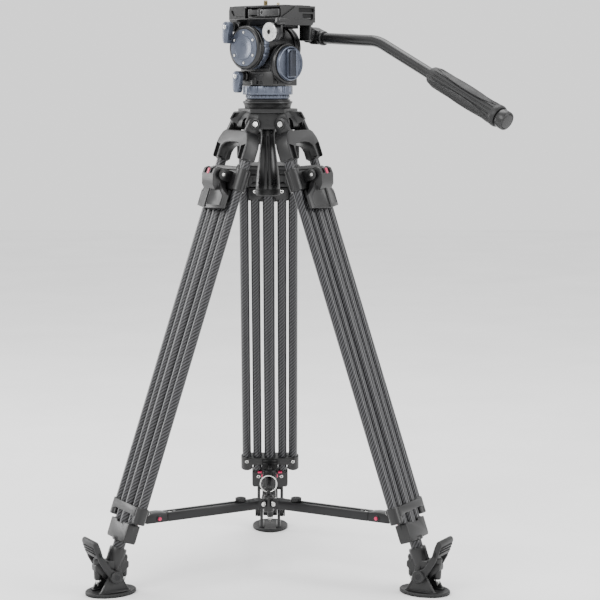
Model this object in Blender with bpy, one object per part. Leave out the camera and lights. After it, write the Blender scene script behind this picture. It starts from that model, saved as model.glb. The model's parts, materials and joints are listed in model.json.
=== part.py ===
"""Twin-tube video tripod with a pan and tilt head, standing on three feet.

Every length is given in millimetres and turned to metres by MM when a mesh
is made. The tripod's axis stands at AXIS_X, AXIS_Y so that the whole object's
bounding box is centred on the origin, with the floor at z = 0.
"""

from math import cos, pi, radians, sin

import bmesh
import bpy
from mathutils import Matrix, Vector

MM = 0.001
GAP = 0.3  # clearance left between neighbouring solids

# where the tripod's axis stands
AXIS_X = -29.079
AXIS_Y = -22.747

# legs
LEG_LEAN = radians(19.177)  # from the vertical
HINGE_RADIUS = 38.4  # leg hinge, measured out from the axis
HINGE_HEIGHT = 672.0
FLOOR_TO_HINGE = 711.6  # along the leg's centre line
OUTER_TUBE_RADIUS = 7.0
OUTER_TUBE_OFFSET = 37.5
INNER_TUBE_RADIUS = 7.0
INNER_TUBE_OFFSET = 20.2
CENTRE_TUBE_RADIUS = 9.0
LEG_AZIMUTHS = {"a": 90.0, "b": 210.0, "c": 330.0}

# feet
FOOT_RADIUS = 262.0
FOOT_HEIGHT = 28.0
PAD_HALF_LENGTH = 38.3
PAD_HALF_WIDTH = 28.9
PAD_THICKNESS = 4.5

# spreader
ARM_PIVOT_RADIUS = 207.0
ARM_HEIGHT = 103.0
ARM_HALF_WIDTH = 10.0
ARM_HALF_HEIGHT = 6.5
CLIP_LENGTH = 33.0
HUB_RADIUS = 13.0

# head
HEAD_PAN = radians(45.0)
LEVEL_HEIGHT = 707.0  # centre of the levelling ball
BALL_RADIUS = 32.7
RIM_RADIUS = 36.4
PAN_RING_RADIUS = 36.7
TILT_HEIGHT = 782.0
CHEEK_RADIUS = 31.6
PLATFORM_BOTTOM = 814.0
PLATE_TOP = 842.6
BALANCE_HEIGHT = 759.4
HANDLE_OFFSET = 52.0
HANDLE_PIVOT = (-44.0, 801.5)
BAR_RADIUS = 8.0
BAR_PATH = [(-60.5, 796.1), (-170.8, 790.8), (-406.0, 681.0)]
GRIP_START = 0.43  # share of the sloping part where the grip starts
GRIP_RADIUS = 15.0

FINISHES = {
    "casting": ((0.022, 0.022, 0.024, 1.0), 0.0, 0.45),
    "carbon": ((0.016, 0.016, 0.017, 1.0), 0.0, 0.30),
    "black_metal": ((0.018, 0.018, 0.019, 1.0), 0.6, 0.38),
    "blue_metal": ((0.13, 0.15, 0.19, 1.0), 0.7, 0.35),
    "rubber": ((0.014, 0.014, 0.014, 1.0), 0.0, 0.75),
    "steel": ((0.62, 0.62, 0.62, 1.0), 1.0, 0.28),
    "brass": ((0.62, 0.50, 0.28, 1.0), 1.0, 0.30),
}

for old in list(bpy.data.objects):
    bpy.data.objects.remove(old)


def from_mesh(mesh_maker):
    mesh = bpy.data.meshes.new("solid")
    bmesh.ops.recalc_face_normals(mesh_maker, faces=mesh_maker.faces)
    mesh_maker.to_mesh(mesh)
    mesh_maker.free()
    solid = bpy.data.objects.new("solid", mesh)
    bpy.context.collection.objects.link(solid)
    return solid


def joined_rings(rings, closed):
    """A closed body from rings of points; the end rings are filled unless the body closes on itself."""
    maker = bmesh.new()
    rows = [[maker.verts.new([c * MM for c in point]) for point in ring] for ring in rings]
    count = len(rows[0])
    pairs = list(zip(rows, rows[1:]))
    if closed:
        pairs.append((rows[-1], rows[0]))
    for low, high in pairs:
        for i in range(count):
            j = (i + 1) % count
            maker.faces.new([low[i], low[j], high[j], high[i]])
    if not closed:
        maker.faces.new(rows[0])
        maker.faces.new(rows[-1])
    return from_mesh(maker)


def along(axis, across_a, across_b, distance):
    """A point from a distance along an axis and two distances across it."""
    if axis == "x":
        return (distance, across_a, across_b)
    if axis == "y":
        return (across_a, distance, across_b)
    return (across_a, across_b, distance)


def prism(outline, low, high, axis):
    """The outline pushed from low to high. It is in y, z along x; in x, z along y; in x, y along z."""
    rings = [[along(axis, a, b, end) for a, b in outline] for end in (low, high)]
    return joined_rings(rings, False)


def box(x, y, z):
    return prism([(x[0], y[0]), (x[1], y[0]), (x[1], y[1]), (x[0], y[1])], z[0], z[1], "z")


def turned(profile, axis, sides, centre=(0.0, 0.0), closed=False, squash=1.0):
    """A body turned about an axis from (radius, distance) points. centre is the axis's place across it."""
    rings = []
    for radius, distance in profile:
        ring = []
        for i in range(sides):
            angle = 2 * pi * (i + 0.5) / sides
            a = centre[0] + radius * cos(angle) * squash
            b = centre[1] + radius * sin(angle)
            ring.append(along(axis, a, b, distance))
        rings.append(ring)
    return joined_rings(rings, closed)


def rod(radius, low, high, axis, sides, centre=(0.0, 0.0)):
    return turned([(radius, low), (radius, high)], axis, sides, centre)


def hull(points):
    maker = bmesh.new()
    for point in points:
        maker.verts.new([c * MM for c in point])
    bmesh.ops.convex_hull(maker, input=maker.verts)
    return from_mesh(maker)


def swept(path, radius, sides):
    """A bar along a path in the y, z plane, mitred at each bend."""
    rings = []
    for i, (y, z) in enumerate(path):
        before = path[max(i - 1, 0)]
        after = path[min(i + 1, len(path) - 1)]
        way = Vector((after[0] - before[0], after[1] - before[1])).normalized()
        ring = []
        for k in range(sides):
            angle = 2 * pi * (k + 0.5) / sides
            lift = radius * sin(angle)
            ring.append((radius * cos(angle), y - way.y * lift, z + way.x * lift))
        rings.append(ring)
    return joined_rings(rings, False)


def combine(solid, others, operation):
    """Adds the other solids to this one, or cuts them from it."""
    for other in others:
        step = solid.modifiers.new("combine", "BOOLEAN")
        step.operation = operation
        step.solver = "EXACT"
        step.object = other
        bpy.ops.object.select_all(action="DESELECT")
        bpy.context.view_layer.objects.active = solid
        solid.select_set(True)
        bpy.ops.object.modifier_apply(modifier=step.name)
        bpy.data.objects.remove(other)
    return solid


def add(solid, *others):
    return combine(solid, others, "UNION")


def cut(solid, *others):
    return combine(solid, others, "DIFFERENCE")


def moved(solid, x=0.0, y=0.0, z=0.0, turn=None):
    """Moves a solid's own mesh, after an optional turn (axis, angle) about its origin."""
    if turn:
        solid.data.transform(Matrix.Rotation(turn[1], 4, turn[0]))
    solid.data.transform(Matrix.Translation((x * MM, y * MM, z * MM)))
    return solid


def frame(name, place, turn, parent=None):
    holder = bpy.data.objects.new(name, None)
    bpy.context.collection.objects.link(holder)
    holder.parent = parent
    holder.location = [c * MM for c in place]
    holder.rotation_euler = turn
    return holder


def keep(solid, name, parent, finish, origin=(0.0, 0.0, 0.0)):
    """Names a finished solid and stands it in its frame, with its own origin at the point given."""
    moved(solid, -origin[0], -origin[1], -origin[2])
    solid.name = name
    solid.data.name = name
    solid.parent = parent
    solid.location = [c * MM for c in origin]
    colour, metallic, roughness = FINISHES[finish]
    material = bpy.data.materials.new(name + "_" + finish)
    material.use_nodes = True
    shader = material.node_tree.nodes["Principled BSDF"]
    shader.inputs["Base Color"].default_value = colour
    shader.inputs["Metallic"].default_value = metallic
    shader.inputs["Roughness"].default_value = roughness
    solid.data.materials.append(material)
    return solid


def up_leg(distance):
    """Distance up from the floor along a leg, as z in the leg's frame."""
    return distance - FLOOR_TO_HINGE


axis_frame = frame("tripod_axis", (AXIS_X, AXIS_Y, 0.0), (0.0, 0.0, 0.0))


# legs: x across the leg, y outwards from its face, z up along it, origin on the hinge
def build_leg(key, azimuth):
    name = "leg_" + key + "_"
    facing = radians(azimuth - 90.0)
    outward = (cos(radians(azimuth)), sin(radians(azimuth)))
    leg = frame(
        name + "frame",
        (HINGE_RADIUS * outward[0], HINGE_RADIUS * outward[1], HINGE_HEIGHT),
        (LEG_LEAN, 0.0, facing),
        axis_frame,
    )

    # forked yoke: two ears on the hinge, two sockets for the outer tubes, an arch between them
    ears = [
        prism([(-9.5, -22), (9.5, -22), (9.5, 4), (4, 9.5), (-4, 9.5), (-9.5, 4)], x[0], x[1], "x")
        for x in ((-30, -23), (23, 30))
    ]
    body = prism(
        [(-31, -14), (-46.5, -31), (-46.5, -56.5), (-28.5, -56.5), (-28.5, -42), (-18, -32),
         (18, -32), (28.5, -42), (28.5, -56.5), (46.5, -56.5), (46.5, -31), (31, -14)],
        -9.5, 13.0, "y",
    )
    keep(add(body, *ears), name + "yoke", leg, "casting")

    # outer tubes held in the collar at their foot
    collar = prism(
        [(-46.5, 0), (-28, 0), (-28, 9.5), (28, 9.5), (28, 0), (46.5, 0), (46.5, 24), (-46.5, 24)],
        -10.0, 10.0, "y",
    )
    moved(collar, z=up_leg(112))
    arm_lug = prism([(-9, 114.5), (-9, 127), (-24, 125.5), (-31, 122.5), (-32.5, 118.8),
                     (-30, 115), (-27, 113.8)], -4.0, 4.0, "x")
    moved(arm_lug, z=-FLOOR_TO_HINGE)
    collar = add(collar, arm_lug)
    for x, radius in ((-INNER_TUBE_OFFSET, INNER_TUBE_RADIUS), (INNER_TUBE_OFFSET, INNER_TUBE_RADIUS),
                      (0.0, CENTRE_TUBE_RADIUS)):
        collar = cut(collar, rod(radius + GAP, up_leg(105), up_leg(140), "z", 16, (x, 0.0)))
    tubes = [
        rod(OUTER_TUBE_RADIUS, up_leg(130), -56.5 - GAP, "z", 16, (x, 0.0))
        for x in (-OUTER_TUBE_OFFSET, OUTER_TUBE_OFFSET)
    ]
    keep(add(collar, *tubes), name + "outer_tubes", leg, "carbon")

    # housing of the leg lock, clamped on the outer tubes
    housing = prism(
        [(-48.5, -8), (-44, -10.5), (-28, -10.5), (-26, -8.5), (26, -8.5), (28, -10.5), (44, -10.5),
         (48.5, -8), (48.5, 6), (45, 9), (-45, 9), (-48.5, 6)],
        up_leg(610), up_leg(646), "z",
    )
    for x in (-OUTER_TUBE_OFFSET, OUTER_TUBE_OFFSET):
        housing = cut(housing, rod(OUTER_TUBE_RADIUS + 0.15, up_leg(590), up_leg(655), "z", 16, (x, 0.0)))
    cheeks = [
        prism([(8, 621), (22, 621), (27, 625), (27, 633), (22, 637), (8, 637)], x[0], x[1], "x")
        for x in ((-22.5, -18), (18, 22.5))
    ]
    for cheek in cheeks:
        moved(cheek, z=-FLOOR_TO_HINGE)
    keep(add(housing, *cheeks), name + "lock_housing", leg, "casting")

    # lock lever: narrow cam end between the cheeks, wide cover below
    cam = box((-17.6, 17.6), (13.2, 34), (up_leg(606), up_leg(637)))
    cover = hull(
        [(x, y, up_leg(s)) for x, y, s in (
            (-25, 12, 621), (25, 12, 621), (-40, 12, 604), (40, 12, 604), (-40, 12, 578), (40, 12, 578),
            (-39, 16, 578), (39, 16, 578), (-16, 34, 618), (16, 34, 618), (0, 24.5, 576), (-39, 17, 602),
            (39, 17, 602), (0, 12, 576))]
    )
    keep(add(cam, cover), name + "lock_lever", leg, "casting", (0.0, 22.0, up_leg(628)))

    # inner tubes and the block at their foot
    block = prism([(-29, -6), (-25, -10), (25, -10), (29, -6), (29, 6), (25, 10), (-25, 10), (-29, 6)],
                  up_leg(81), up_leg(108.7), "z")
    block = cut(block, rod(CENTRE_TUBE_RADIUS + GAP, up_leg(75), up_leg(115), "z", 16))
    inner = [
        rod(INNER_TUBE_RADIUS, up_leg(100), up_leg(610) - GAP, "z", 16, (x, 0.0))
        for x in (-INNER_TUBE_OFFSET, INNER_TUBE_OFFSET)
    ]
    keep(add(block, *inner), name + "inner_tubes", leg, "carbon")

    keep(rod(CENTRE_TUBE_RADIUS, up_leg(69) + GAP, up_leg(610) - GAP, "z", 16), name + "centre_tube",
         leg, "carbon")

    # foot: x across, y outwards, z up, origin on the foot's pivot
    foot = frame(
        name + "foot_frame",
        (FOOT_RADIUS * outward[0], FOOT_RADIUS * outward[1], FOOT_HEIGHT),
        (0.0, 0.0, facing),
        axis_frame,
    )
    sleeve = turned([(10.5, 5), (11.5, 14), (12.5, 26), (12.5, 39.4)], "z", 16)
    moved(sleeve, turn=("X", LEG_LEAN))
    beam = prism([(-26, 16), (-25, 5), (-8, -7), (8, -7), (25, 5), (26, 16), (6, 22), (-10, 26)],
                 -7.5, 7.5, "x")
    boss = rod(8.0, -11.5, 11.5, "x", 16)
    spikes = [
        turned([(5.5, 12), (5.0, -5), (3.0, -7), (1.0, -15.5)], "z", 12, (0.0, y)) for y in (-20.0, 20.0)
    ]
    keep(add(beam, boss, sleeve, *spikes), name + "spiked_foot", foot, "casting")

    pad = turned([(PAD_HALF_LENGTH, -FOOT_HEIGHT), (PAD_HALF_LENGTH, -FOOT_HEIGHT + PAD_THICKNESS)],
                 "z", 28, (0.0, 0.0), False, PAD_HALF_WIDTH / PAD_HALF_LENGTH)
    plates = [
        prism([(-23, -24), (23, -24), (9, 4), (4, 9), (-4, 9), (-9, 4)], x[0], x[1], "x")
        for x in ((-16, -12), (12, 16))
    ]
    keep(add(pad, *plates), name + "foot_pad", foot, "rubber")

    # release lever of the pad, bent up and outwards from the pivot
    arms = [
        prism([(-7, 1), (-5, -5), (3, -7), (9, -2), (29, 26), (33, 40), (24, 42), (18, 30), (-3, 8)],
              x[0], x[1], "x")
        for x in ((-21.5, -16.5), (16.5, 21.5))
    ]
    grip_end = prism([(19, 31), (28, 26), (35, 36), (43, 53), (40, 57), (31, 50)], -21.5, 21.5, "x")
    keep(add(grip_end, *arms), name + "foot_lever", foot, "rubber")

    # spreader arm: x across, y outwards, z up, origin on the arm's pivot at the leg
    arm = frame(
        name + "arm_frame",
        (ARM_PIVOT_RADIUS * outward[0], ARM_PIVOT_RADIUS * outward[1], ARM_HEIGHT),
        (0.0, 0.0, facing),
        axis_frame,
    )
    width, height = ARM_HALF_WIDTH, ARM_HALF_HEIGHT
    clip = prism([(-CLIP_LENGTH, -height), (2, -height), (7, -3), (7, 3), (2, height), (-CLIP_LENGTH, height)],
                 -width, width, "x")
    clip = add(clip, box((-6.5, 6.5), (-167, -CLIP_LENGTH + 2), (-3.4, 3.4)))
    clip = cut(clip, box((-4.4, 4.4), (-9, 9), (-9, 9)))
    keep(clip, name + "arm_clip", arm, "black_metal")

    inner_end = 14.0 - ARM_PIVOT_RADIUS
    channel = box((-width, width), (inner_end, -CLIP_LENGTH - GAP), (-height, height))
    channel = cut(
        channel,
        box((-6.8, 6.8), (inner_end + 18, -CLIP_LENGTH + 5), (-3.7, 3.7)),
        box((-2.5, 2.5), (-164, -50), (0.0, height + 2)),
    )
    keep(channel, name + "arm_channel", arm, "black_metal")

    knob = turned([(2.0, 3.7), (2.0, 7.0), (8.0, 7.0), (8.0, 12.0), (6.5, 13.0)], "z", 16, (0.0, -159.0))
    keep(knob, name + "arm_knob", arm, "casting", (0.0, -159.0, 0.0))


for leg_key, leg_azimuth in LEG_AZIMUTHS.items():
    build_leg(leg_key, leg_azimuth)

# spreader hub and the ring that lifts it
hub_frame = frame("hub_frame", (0.0, 0.0, ARM_HEIGHT), (0.0, 0.0, 0.0), axis_frame)
hub = turned([(9.0, -14), (12.0, -12), (HUB_RADIUS, -8), (HUB_RADIUS, 7), (9.0, 9.0)], "z", 18)
hub = cut(hub, rod(2.3, -4.0, 12.0, "z", 12))
keep(hub, "spreader_hub", hub_frame, "casting")
ring = turned(
    [(12.6 + 1.1 * cos(radians(a)), 1.1 * sin(radians(a))) for a in range(0, 360, 60)],
    "y", 24, (0.0, 28.0), True,
)
ring = add(ring, rod(2.0, -3.0, 15.5, "z", 12))
keep(ring, "pull_ring", hub_frame, "steel")

# crown: bowl rim, shoulders and the lugs that the legs hinge on
crown = turned([(30.0, 668), (31.0, 686), (35.0, 694), (RIM_RADIUS, 704.8)], "z", 36)
shoulders = prism(
    [(sign * x, y) for x, y, sign in ((28, 42, 1), (44, 3, 1), (25, -42, 1), (25, -42, -1), (44, 3, -1),
                                      (28, 42, -1))],
    688.0, 694.0, "z",
)
crown = add(crown, shoulders)
for leg_azimuth in LEG_AZIMUTHS.values():
    lug = prism([(20, 664), (44, 664), (48, 668), (48, 677), (42, 689), (20, 689)], -22.5, 22.5, "x")
    moved(lug, turn=("Z", radians(leg_azimuth - 90.0)))
    crown = add(crown, lug)
bowl = [(BALL_RADIUS + 0.6) * cos(radians(a)) for a in (2, 16, 30, 47)]
depth = [LEVEL_HEIGHT - (BALL_RADIUS + 0.6) * sin(radians(a)) for a in (2, 16, 30, 47)]
crown = cut(crown, turned([(bowl[0], 712.0)] + list(zip(bowl, depth)), "z", 36), rod(15.5, 660, 690, "z", 24))
keep(crown, "crown", axis_frame, "casting")

# levelling ball with the stud that the clamp handle screws on
ball_angles = (0, 14, 28, 40)
ball = turned(
    [(BALL_RADIUS * cos(radians(a)), LEVEL_HEIGHT - BALL_RADIUS * sin(radians(a))) for a in ball_angles],
    "z", 36,
)
ball = add(ball, rod(4.0, 658.0, 690.0, "z", 12))
keep(ball, "levelling_ball", axis_frame, "black_metal", (0.0, 0.0, LEVEL_HEIGHT))
clamp = turned(
    [(17.8, 566), (18.4, 570), (17.6, 590), (14.0, 618), (10.5, 645), (9.8, 656), (10.8, 657),
     (10.8, 664.6), (10.0, 665.6)],
    "z", 24,
)
clamp = cut(clamp, rod(4.4, 655.0, 670.0, "z", 12))
keep(clamp, "bowl_clamp_handle", axis_frame, "rubber", (0.0, 0.0, 620.0))

# head: x towards the handle's side, y the way the lens points, z up, origin on the pan axis
head = frame("head_frame", (0.0, 0.0, 0.0), (0.0, 0.0, HEAD_PAN), axis_frame)
flange = turned([(30.0, LEVEL_HEIGHT + GAP), (32.0, 708.5), (32.0, 713.6), (22.0, 713.6), (22.0, 719.0)],
                "z", 36)
keep(flange, "pan_flange", head, "blue_metal", (0.0, 0.0, LEVEL_HEIGHT))

flutes = [PAN_RING_RADIUS if i % 4 < 3 else PAN_RING_RADIUS - 1.6 for i in range(64)]
ring_outline = [
    (r * cos(2 * pi * i / 64), r * sin(2 * pi * i / 64)) for i, r in enumerate(flutes)
]
drag_ring = prism(ring_outline, 714.0, 726.6, "z")
drag_ring = cut(drag_ring, rod(26.0, 710.0, 730.0, "z", 32))
keep(drag_ring, "pan_drag_ring", head, "blue_metal", (0.0, 0.0, 714.0))

# body: neck, base block, tilt drum and the housing of the counterbalance
neck = rod(25.4, 719.0 + GAP, 735.0, "z", 32)
base = prism([(-31, 24), (-24, 31), (24, 31), (31, 24), (31, -24), (25, -36), (-25, -36), (-31, -24)],
             726.6 + GAP, 748.5, "z")
waist = box((-25.5, 25.5), (-30, 28), (745, 768))
drum = rod(29.5, -26.0, 26.0, "x", 32, (0.0, TILT_HEIGHT))
balance = turned([(25.0, -20.0), (25.0, -31.5), (29.0, -33.0), (29.0, -41.0), (27.0, -43.0)], "y", 32,
                 (0.0, BALANCE_HEIGHT))
body = add(base, neck, waist, drum, balance)
lock_boss = rod(6.0, -42.0, -25.0, "x", 14, (14.0, 741.0))
body = add(body, lock_boss)
keep(body, "head_body", head, "casting", (0.0, 0.0, TILT_HEIGHT))

pan_lock = prism([(7, 741), (9, 746.5), (14, 748.5), (19, 746.5), (21, 741), (19, 722), (17, 717), (11, 717),
                  (8, 722)], -52.0, -42.0 - GAP, "x")
keep(pan_lock, "pan_lock_lever", head, "blue_metal", (-42.0, 14.0, 741.0))

knob = turned([(25.0, -43.0 - GAP), (25.0, -47.5), (23.5, -49.0)], "y", 32, (0.0, BALANCE_HEIGHT))
bar = prism([(-5.5, BALANCE_HEIGHT - 19), (5.5, BALANCE_HEIGHT - 19), (5.5, BALANCE_HEIGHT + 19),
             (-5.5, BALANCE_HEIGHT + 19)], -55.0, -48.0, "y")
keep(add(knob, bar), "balance_knob", head, "blue_metal", (0.0, -43.0, BALANCE_HEIGHT))

tilt_ring = turned([(30.5, -36.5), (31.6, -36.0), (31.6, -30.0), (30.5, -26.0 - GAP), (12.0, -26.0 - GAP),
                    (12.0, -36.5)], "x", 32, (0.0, TILT_HEIGHT), True)
keep(tilt_ring, "tilt_drag_ring", head, "blue_metal", (0.0, 0.0, TILT_HEIGHT))

left_cheek = turned([(29.0, -49.0), (CHEEK_RADIUS, -46.5), (CHEEK_RADIUS, -37.0)], "x", 36, (0.0, TILT_HEIGHT))
keep(left_cheek, "tilt_cheek_left", head, "casting", (0.0, 0.0, TILT_HEIGHT))
right_cheek = turned([(CHEEK_RADIUS, 26.0 + GAP), (CHEEK_RADIUS, 37.0), (28.5, 40.0)], "x", 36,
                     (0.0, TILT_HEIGHT))
keep(right_cheek, "tilt_cheek_right", head, "casting", (0.0, 0.0, TILT_HEIGHT))

# platform with its rails, the lug of the accessory boss and the lug of the handle
platform = prism([(-28, PLATFORM_BOTTOM), (28, PLATFORM_BOTTOM), (34, 823), (34, 838), (28, 838), (27, 824),
                  (-27, 824), (-28, 838), (-34, 838), (-34, 823)], -64.0, 46.0, "y")
lock_pocket = box((-40, -27.5), (-70, 12), (824.0, 845))
platform = cut(platform, lock_pocket)
boss_lug = box((-36, -30.5), (-64, -42), (797, 818))
handle_lug = box((30.5, 35.5), (-56, -34), (792, 818))
lock_stem = rod(5.0, -49.0, -36.0, "x", 12, (27.0, 812.0))
end_wall = box((-34, 34), (-64, -60 - GAP), (823, 838))
platform = add(platform, end_wall, boss_lug, handle_lug, lock_stem, box((-37, -25), (22, 32), (808, 820)))
keep(platform, "platform", head, "casting", (0.0, 0.0, TILT_HEIGHT))

tilt_lock = prism([(19.5, 812), (22, 818), (27, 820), (32, 818), (34.5, 812), (32, 793), (29, 786), (24, 786),
                   (21, 793)], -60.0, -49.0 - GAP, "x")
keep(tilt_lock, "tilt_lock_lever", head, "blue_metal", (-49.0, 27.0, 812.0))

boss = turned([(13.0, -50.0), (13.4, -49.0), (13.4, -36.0 - GAP)], "x", 28, (-53.0, 804.0))
boss = cut(boss, turned([(3.2, -56.0), (3.2, -44.0)], "x", 6, (-53.0, 804.0)))
keep(boss, "accessory_boss", head, "steel", (-36.0, -53.0, 804.0))

plate = prism([(-25.5, 824.4), (25.5, 824.4), (25.5, 838.4), (29, 839.4), (29, PLATE_TOP), (-29, PLATE_TOP),
               (-29, 839.4), (-25.5, 838.4)], -60.0, 42.0, "y")
plate = cut(plate, rod(3.3, 820.0, 850.0, "z", 12, (0.0, 4.0)), box((-8, 8), (-4, 12), (820, 838)))
plate = add(plate, rod(2.0, 841.0, 847.0, "z", 12, (0.0, -22.0)))
keep(plate, "camera_plate", head, "black_metal", (0.0, 0.0, PLATE_TOP))

screw = turned([(6.0, 830.0), (6.0, 837.6), (3.0, 837.7), (3.0, 850.0), (2.4, 851.0)], "z", 16, (0.0, 4.0))
keep(screw, "camera_screw", head, "brass", (0.0, 4.0, 838.0))

plate_lever = prism([(-29.8, 6.4), (-28.2, 2), (-28.0, -30), (-32, -60), (-38, -60), (-35.5, -20), (-33, 7)],
                    826.0, 836.5, "z")
keep(plate_lever, "plate_lock_lever", head, "casting", (-31.0, 4.0, 831.0))

# handle: rosette bracket, clamp knob, bent bar and grip
pivot_y, pivot_z = HANDLE_PIVOT
bracket = rod(10.5, 35.5 + GAP, 45.0, "x", 24, (pivot_y, pivot_z))
bracket = add(
    bracket,
    prism([(-60, 786.5), (-36, 790), (-36, 811), (-58, 806.5)], 43.0, 61.0, "x"),
)
keep(bracket, "handle_bracket", head, "casting", (45.0, pivot_y, pivot_z))
clamp_knob = turned([(5.0, 61.0 + GAP), (7.5, 62.0), (7.5, 70.0), (6.0, 71.0)], "x", 14, (pivot_y - 4, 799.0))
keep(clamp_knob, "handle_clamp_knob", head, "casting", (61.0, pivot_y - 4, 799.0))

start, bend, end = BAR_PATH
grip_from = (bend[0] + (end[0] - bend[0]) * GRIP_START, bend[1] + (end[1] - bend[1]) * GRIP_START)
round_before = (bend[0] + 14.0, bend[1] + 0.67)
round_after = (bend[0] - 12.7, bend[1] - 5.9)
pan_bar = swept([(start[0] - GAP, start[1]), round_before, (bend[0], bend[1] - 1.3), round_after, grip_from],
                BAR_RADIUS, 16)
keep(moved(pan_bar, x=HANDLE_OFFSET), "pan_bar", head, "black_metal")

slope = ((end[0] - bend[0]) ** 2 + (end[1] - bend[1]) ** 2) ** 0.5
way = ((end[0] - bend[0]) / slope, (end[1] - bend[1]) / slope)


def on_grip(distance):
    return (grip_from[0] + way[0] * (distance + GAP), grip_from[1] + way[1] * (distance + GAP))


def grip_part(steps, sides):
    """A round part along the grip's line, from (distance, radius) steps."""
    rings = []
    for distance, radius in steps:
        y, z = on_grip(distance)
        ring_points = []
        for k in range(sides):
            angle = 2 * pi * (k + 0.5) / sides
            lift = radius * sin(angle)
            ring_points.append((HANDLE_OFFSET + radius * cos(angle), y + way[1] * lift, z - way[0] * lift))
        rings.append(ring_points)
    return joined_rings(rings, False)


grip_length = slope * (1 - GRIP_START) - GAP
grip = grip_part([(0, 11.5), (6, 14.0), (12, GRIP_RADIUS), (60, 14.4), (100, 14.6), (grip_length - 22, 15.2),
                  (grip_length - 14, 14.0)], 20)
keep(grip, "grip", head, "rubber")
cap = grip_part([(grip_length - 14 + GAP, 12.6), (grip_length - 2, 13.2), (grip_length, 12.0)], 20)
keep(cap, "grip_end_cap", head, "casting")
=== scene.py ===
import json
from math import atan2, cos, pi, radians, sin, tan

import bpy
from mathutils import Matrix, Vector


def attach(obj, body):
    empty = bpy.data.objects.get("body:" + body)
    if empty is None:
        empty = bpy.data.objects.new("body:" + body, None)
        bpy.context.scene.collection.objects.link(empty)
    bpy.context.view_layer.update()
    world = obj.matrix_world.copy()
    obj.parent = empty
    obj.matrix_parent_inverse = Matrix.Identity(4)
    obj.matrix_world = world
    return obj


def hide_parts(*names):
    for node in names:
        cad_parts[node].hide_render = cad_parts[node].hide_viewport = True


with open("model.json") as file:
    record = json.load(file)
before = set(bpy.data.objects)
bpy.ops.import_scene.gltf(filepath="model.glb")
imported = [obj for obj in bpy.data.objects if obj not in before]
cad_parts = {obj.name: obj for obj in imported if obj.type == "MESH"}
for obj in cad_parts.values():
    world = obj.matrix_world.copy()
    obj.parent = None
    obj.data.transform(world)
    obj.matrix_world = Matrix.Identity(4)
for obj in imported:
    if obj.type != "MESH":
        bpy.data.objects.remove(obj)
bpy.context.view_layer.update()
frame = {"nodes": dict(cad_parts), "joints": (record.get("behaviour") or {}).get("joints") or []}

mm = 0.001  # sizes below are in millimetres
jointAt = {joint["name"]: Vector(joint["pos_m"]) for joint in frame["joints"] if "pos_m" in joint}
print("frame loaded:", len(frame["nodes"]), "CAD nodes")

lean = radians(19.177)  # of each leg from upright
hingeUpLeg = 711.6  # from the floor along a leg to its hinge
towMm = 1.45  # width of one carbon tow
legFacing = {"a": 90.0, "b": 210.0, "c": 330.0}  # where each leg points, seen from above


def legPlace(key):  # x across the leg, y out from its face, z up it, from the hinge
    return (Matrix.Translation(jointAt["leg_" + key + "_spread"])
        @ Matrix.Rotation(radians(legFacing[key] - 90), 4, "Z") @ Matrix.Rotation(lean, 4, "X"))


def footPlace(key):  # upright, from the foot's pivot
    return (Matrix.Translation(jointAt["leg_" + key + "_pad_tilt"])
        @ Matrix.Rotation(radians(legFacing[key] - 90), 4, "Z"))


def armPlace(key):  # upright, from the spreader arm's pivot at the leg
    return (Matrix.Translation(jointAt["leg_" + key + "_clip_turn"])
        @ Matrix.Rotation(radians(legFacing[key] - 90), 4, "Z"))


axisSpot = Vector((jointAt["pan_turn"].x, jointAt["pan_turn"].y, 0.0))
axisPlace = Matrix.Translation(axisSpot)
# x to the handle's side, y where the lens points
headPlace = axisPlace @ Matrix.Rotation(radians(45), 4, "Z")


def upLeg(distance):  # distance up from the floor along a leg, as z in the leg's own place
    return distance - hingeUpLeg


def hexColour(code):  # sRGB hex to linear
    parts = [int(code[i:i + 2], 16) / 255 for i in (1, 3, 5)]
    return tuple(c / 12.92 if c <= 0.04045 else ((c + 0.055) / 1.055) ** 2.4
        for c in parts) + (1.0,)


def addNode(tree, kind, settings=None, values=None, links=None):
    made = tree.nodes.new("ShaderNode" + kind)
    for key, value in (settings or {}).items():
        setattr(made, key, value)
    for key, value in (values or {}).items():
        made.inputs[key].default_value = value
    for key, source in (links or {}).items():
        tree.links.new(source, made.inputs[key])
    return made


def startMaterial(name, values):
    material = bpy.data.materials.new(name)
    material.use_nodes = True
    tree = material.node_tree
    shader = tree.nodes["Principled BSDF"]
    for key, value in values.items():
        shader.inputs[key].default_value = value
    return material, tree, shader


def rampStops(ramp, stops):
    while len(ramp.color_ramp.elements) < len(stops):
        ramp.color_ramp.elements.new(0.5)
    for element, (spot, colour) in zip(ramp.color_ramp.elements, stops):
        element.position = spot
        element.color = hexColour(colour)


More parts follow.
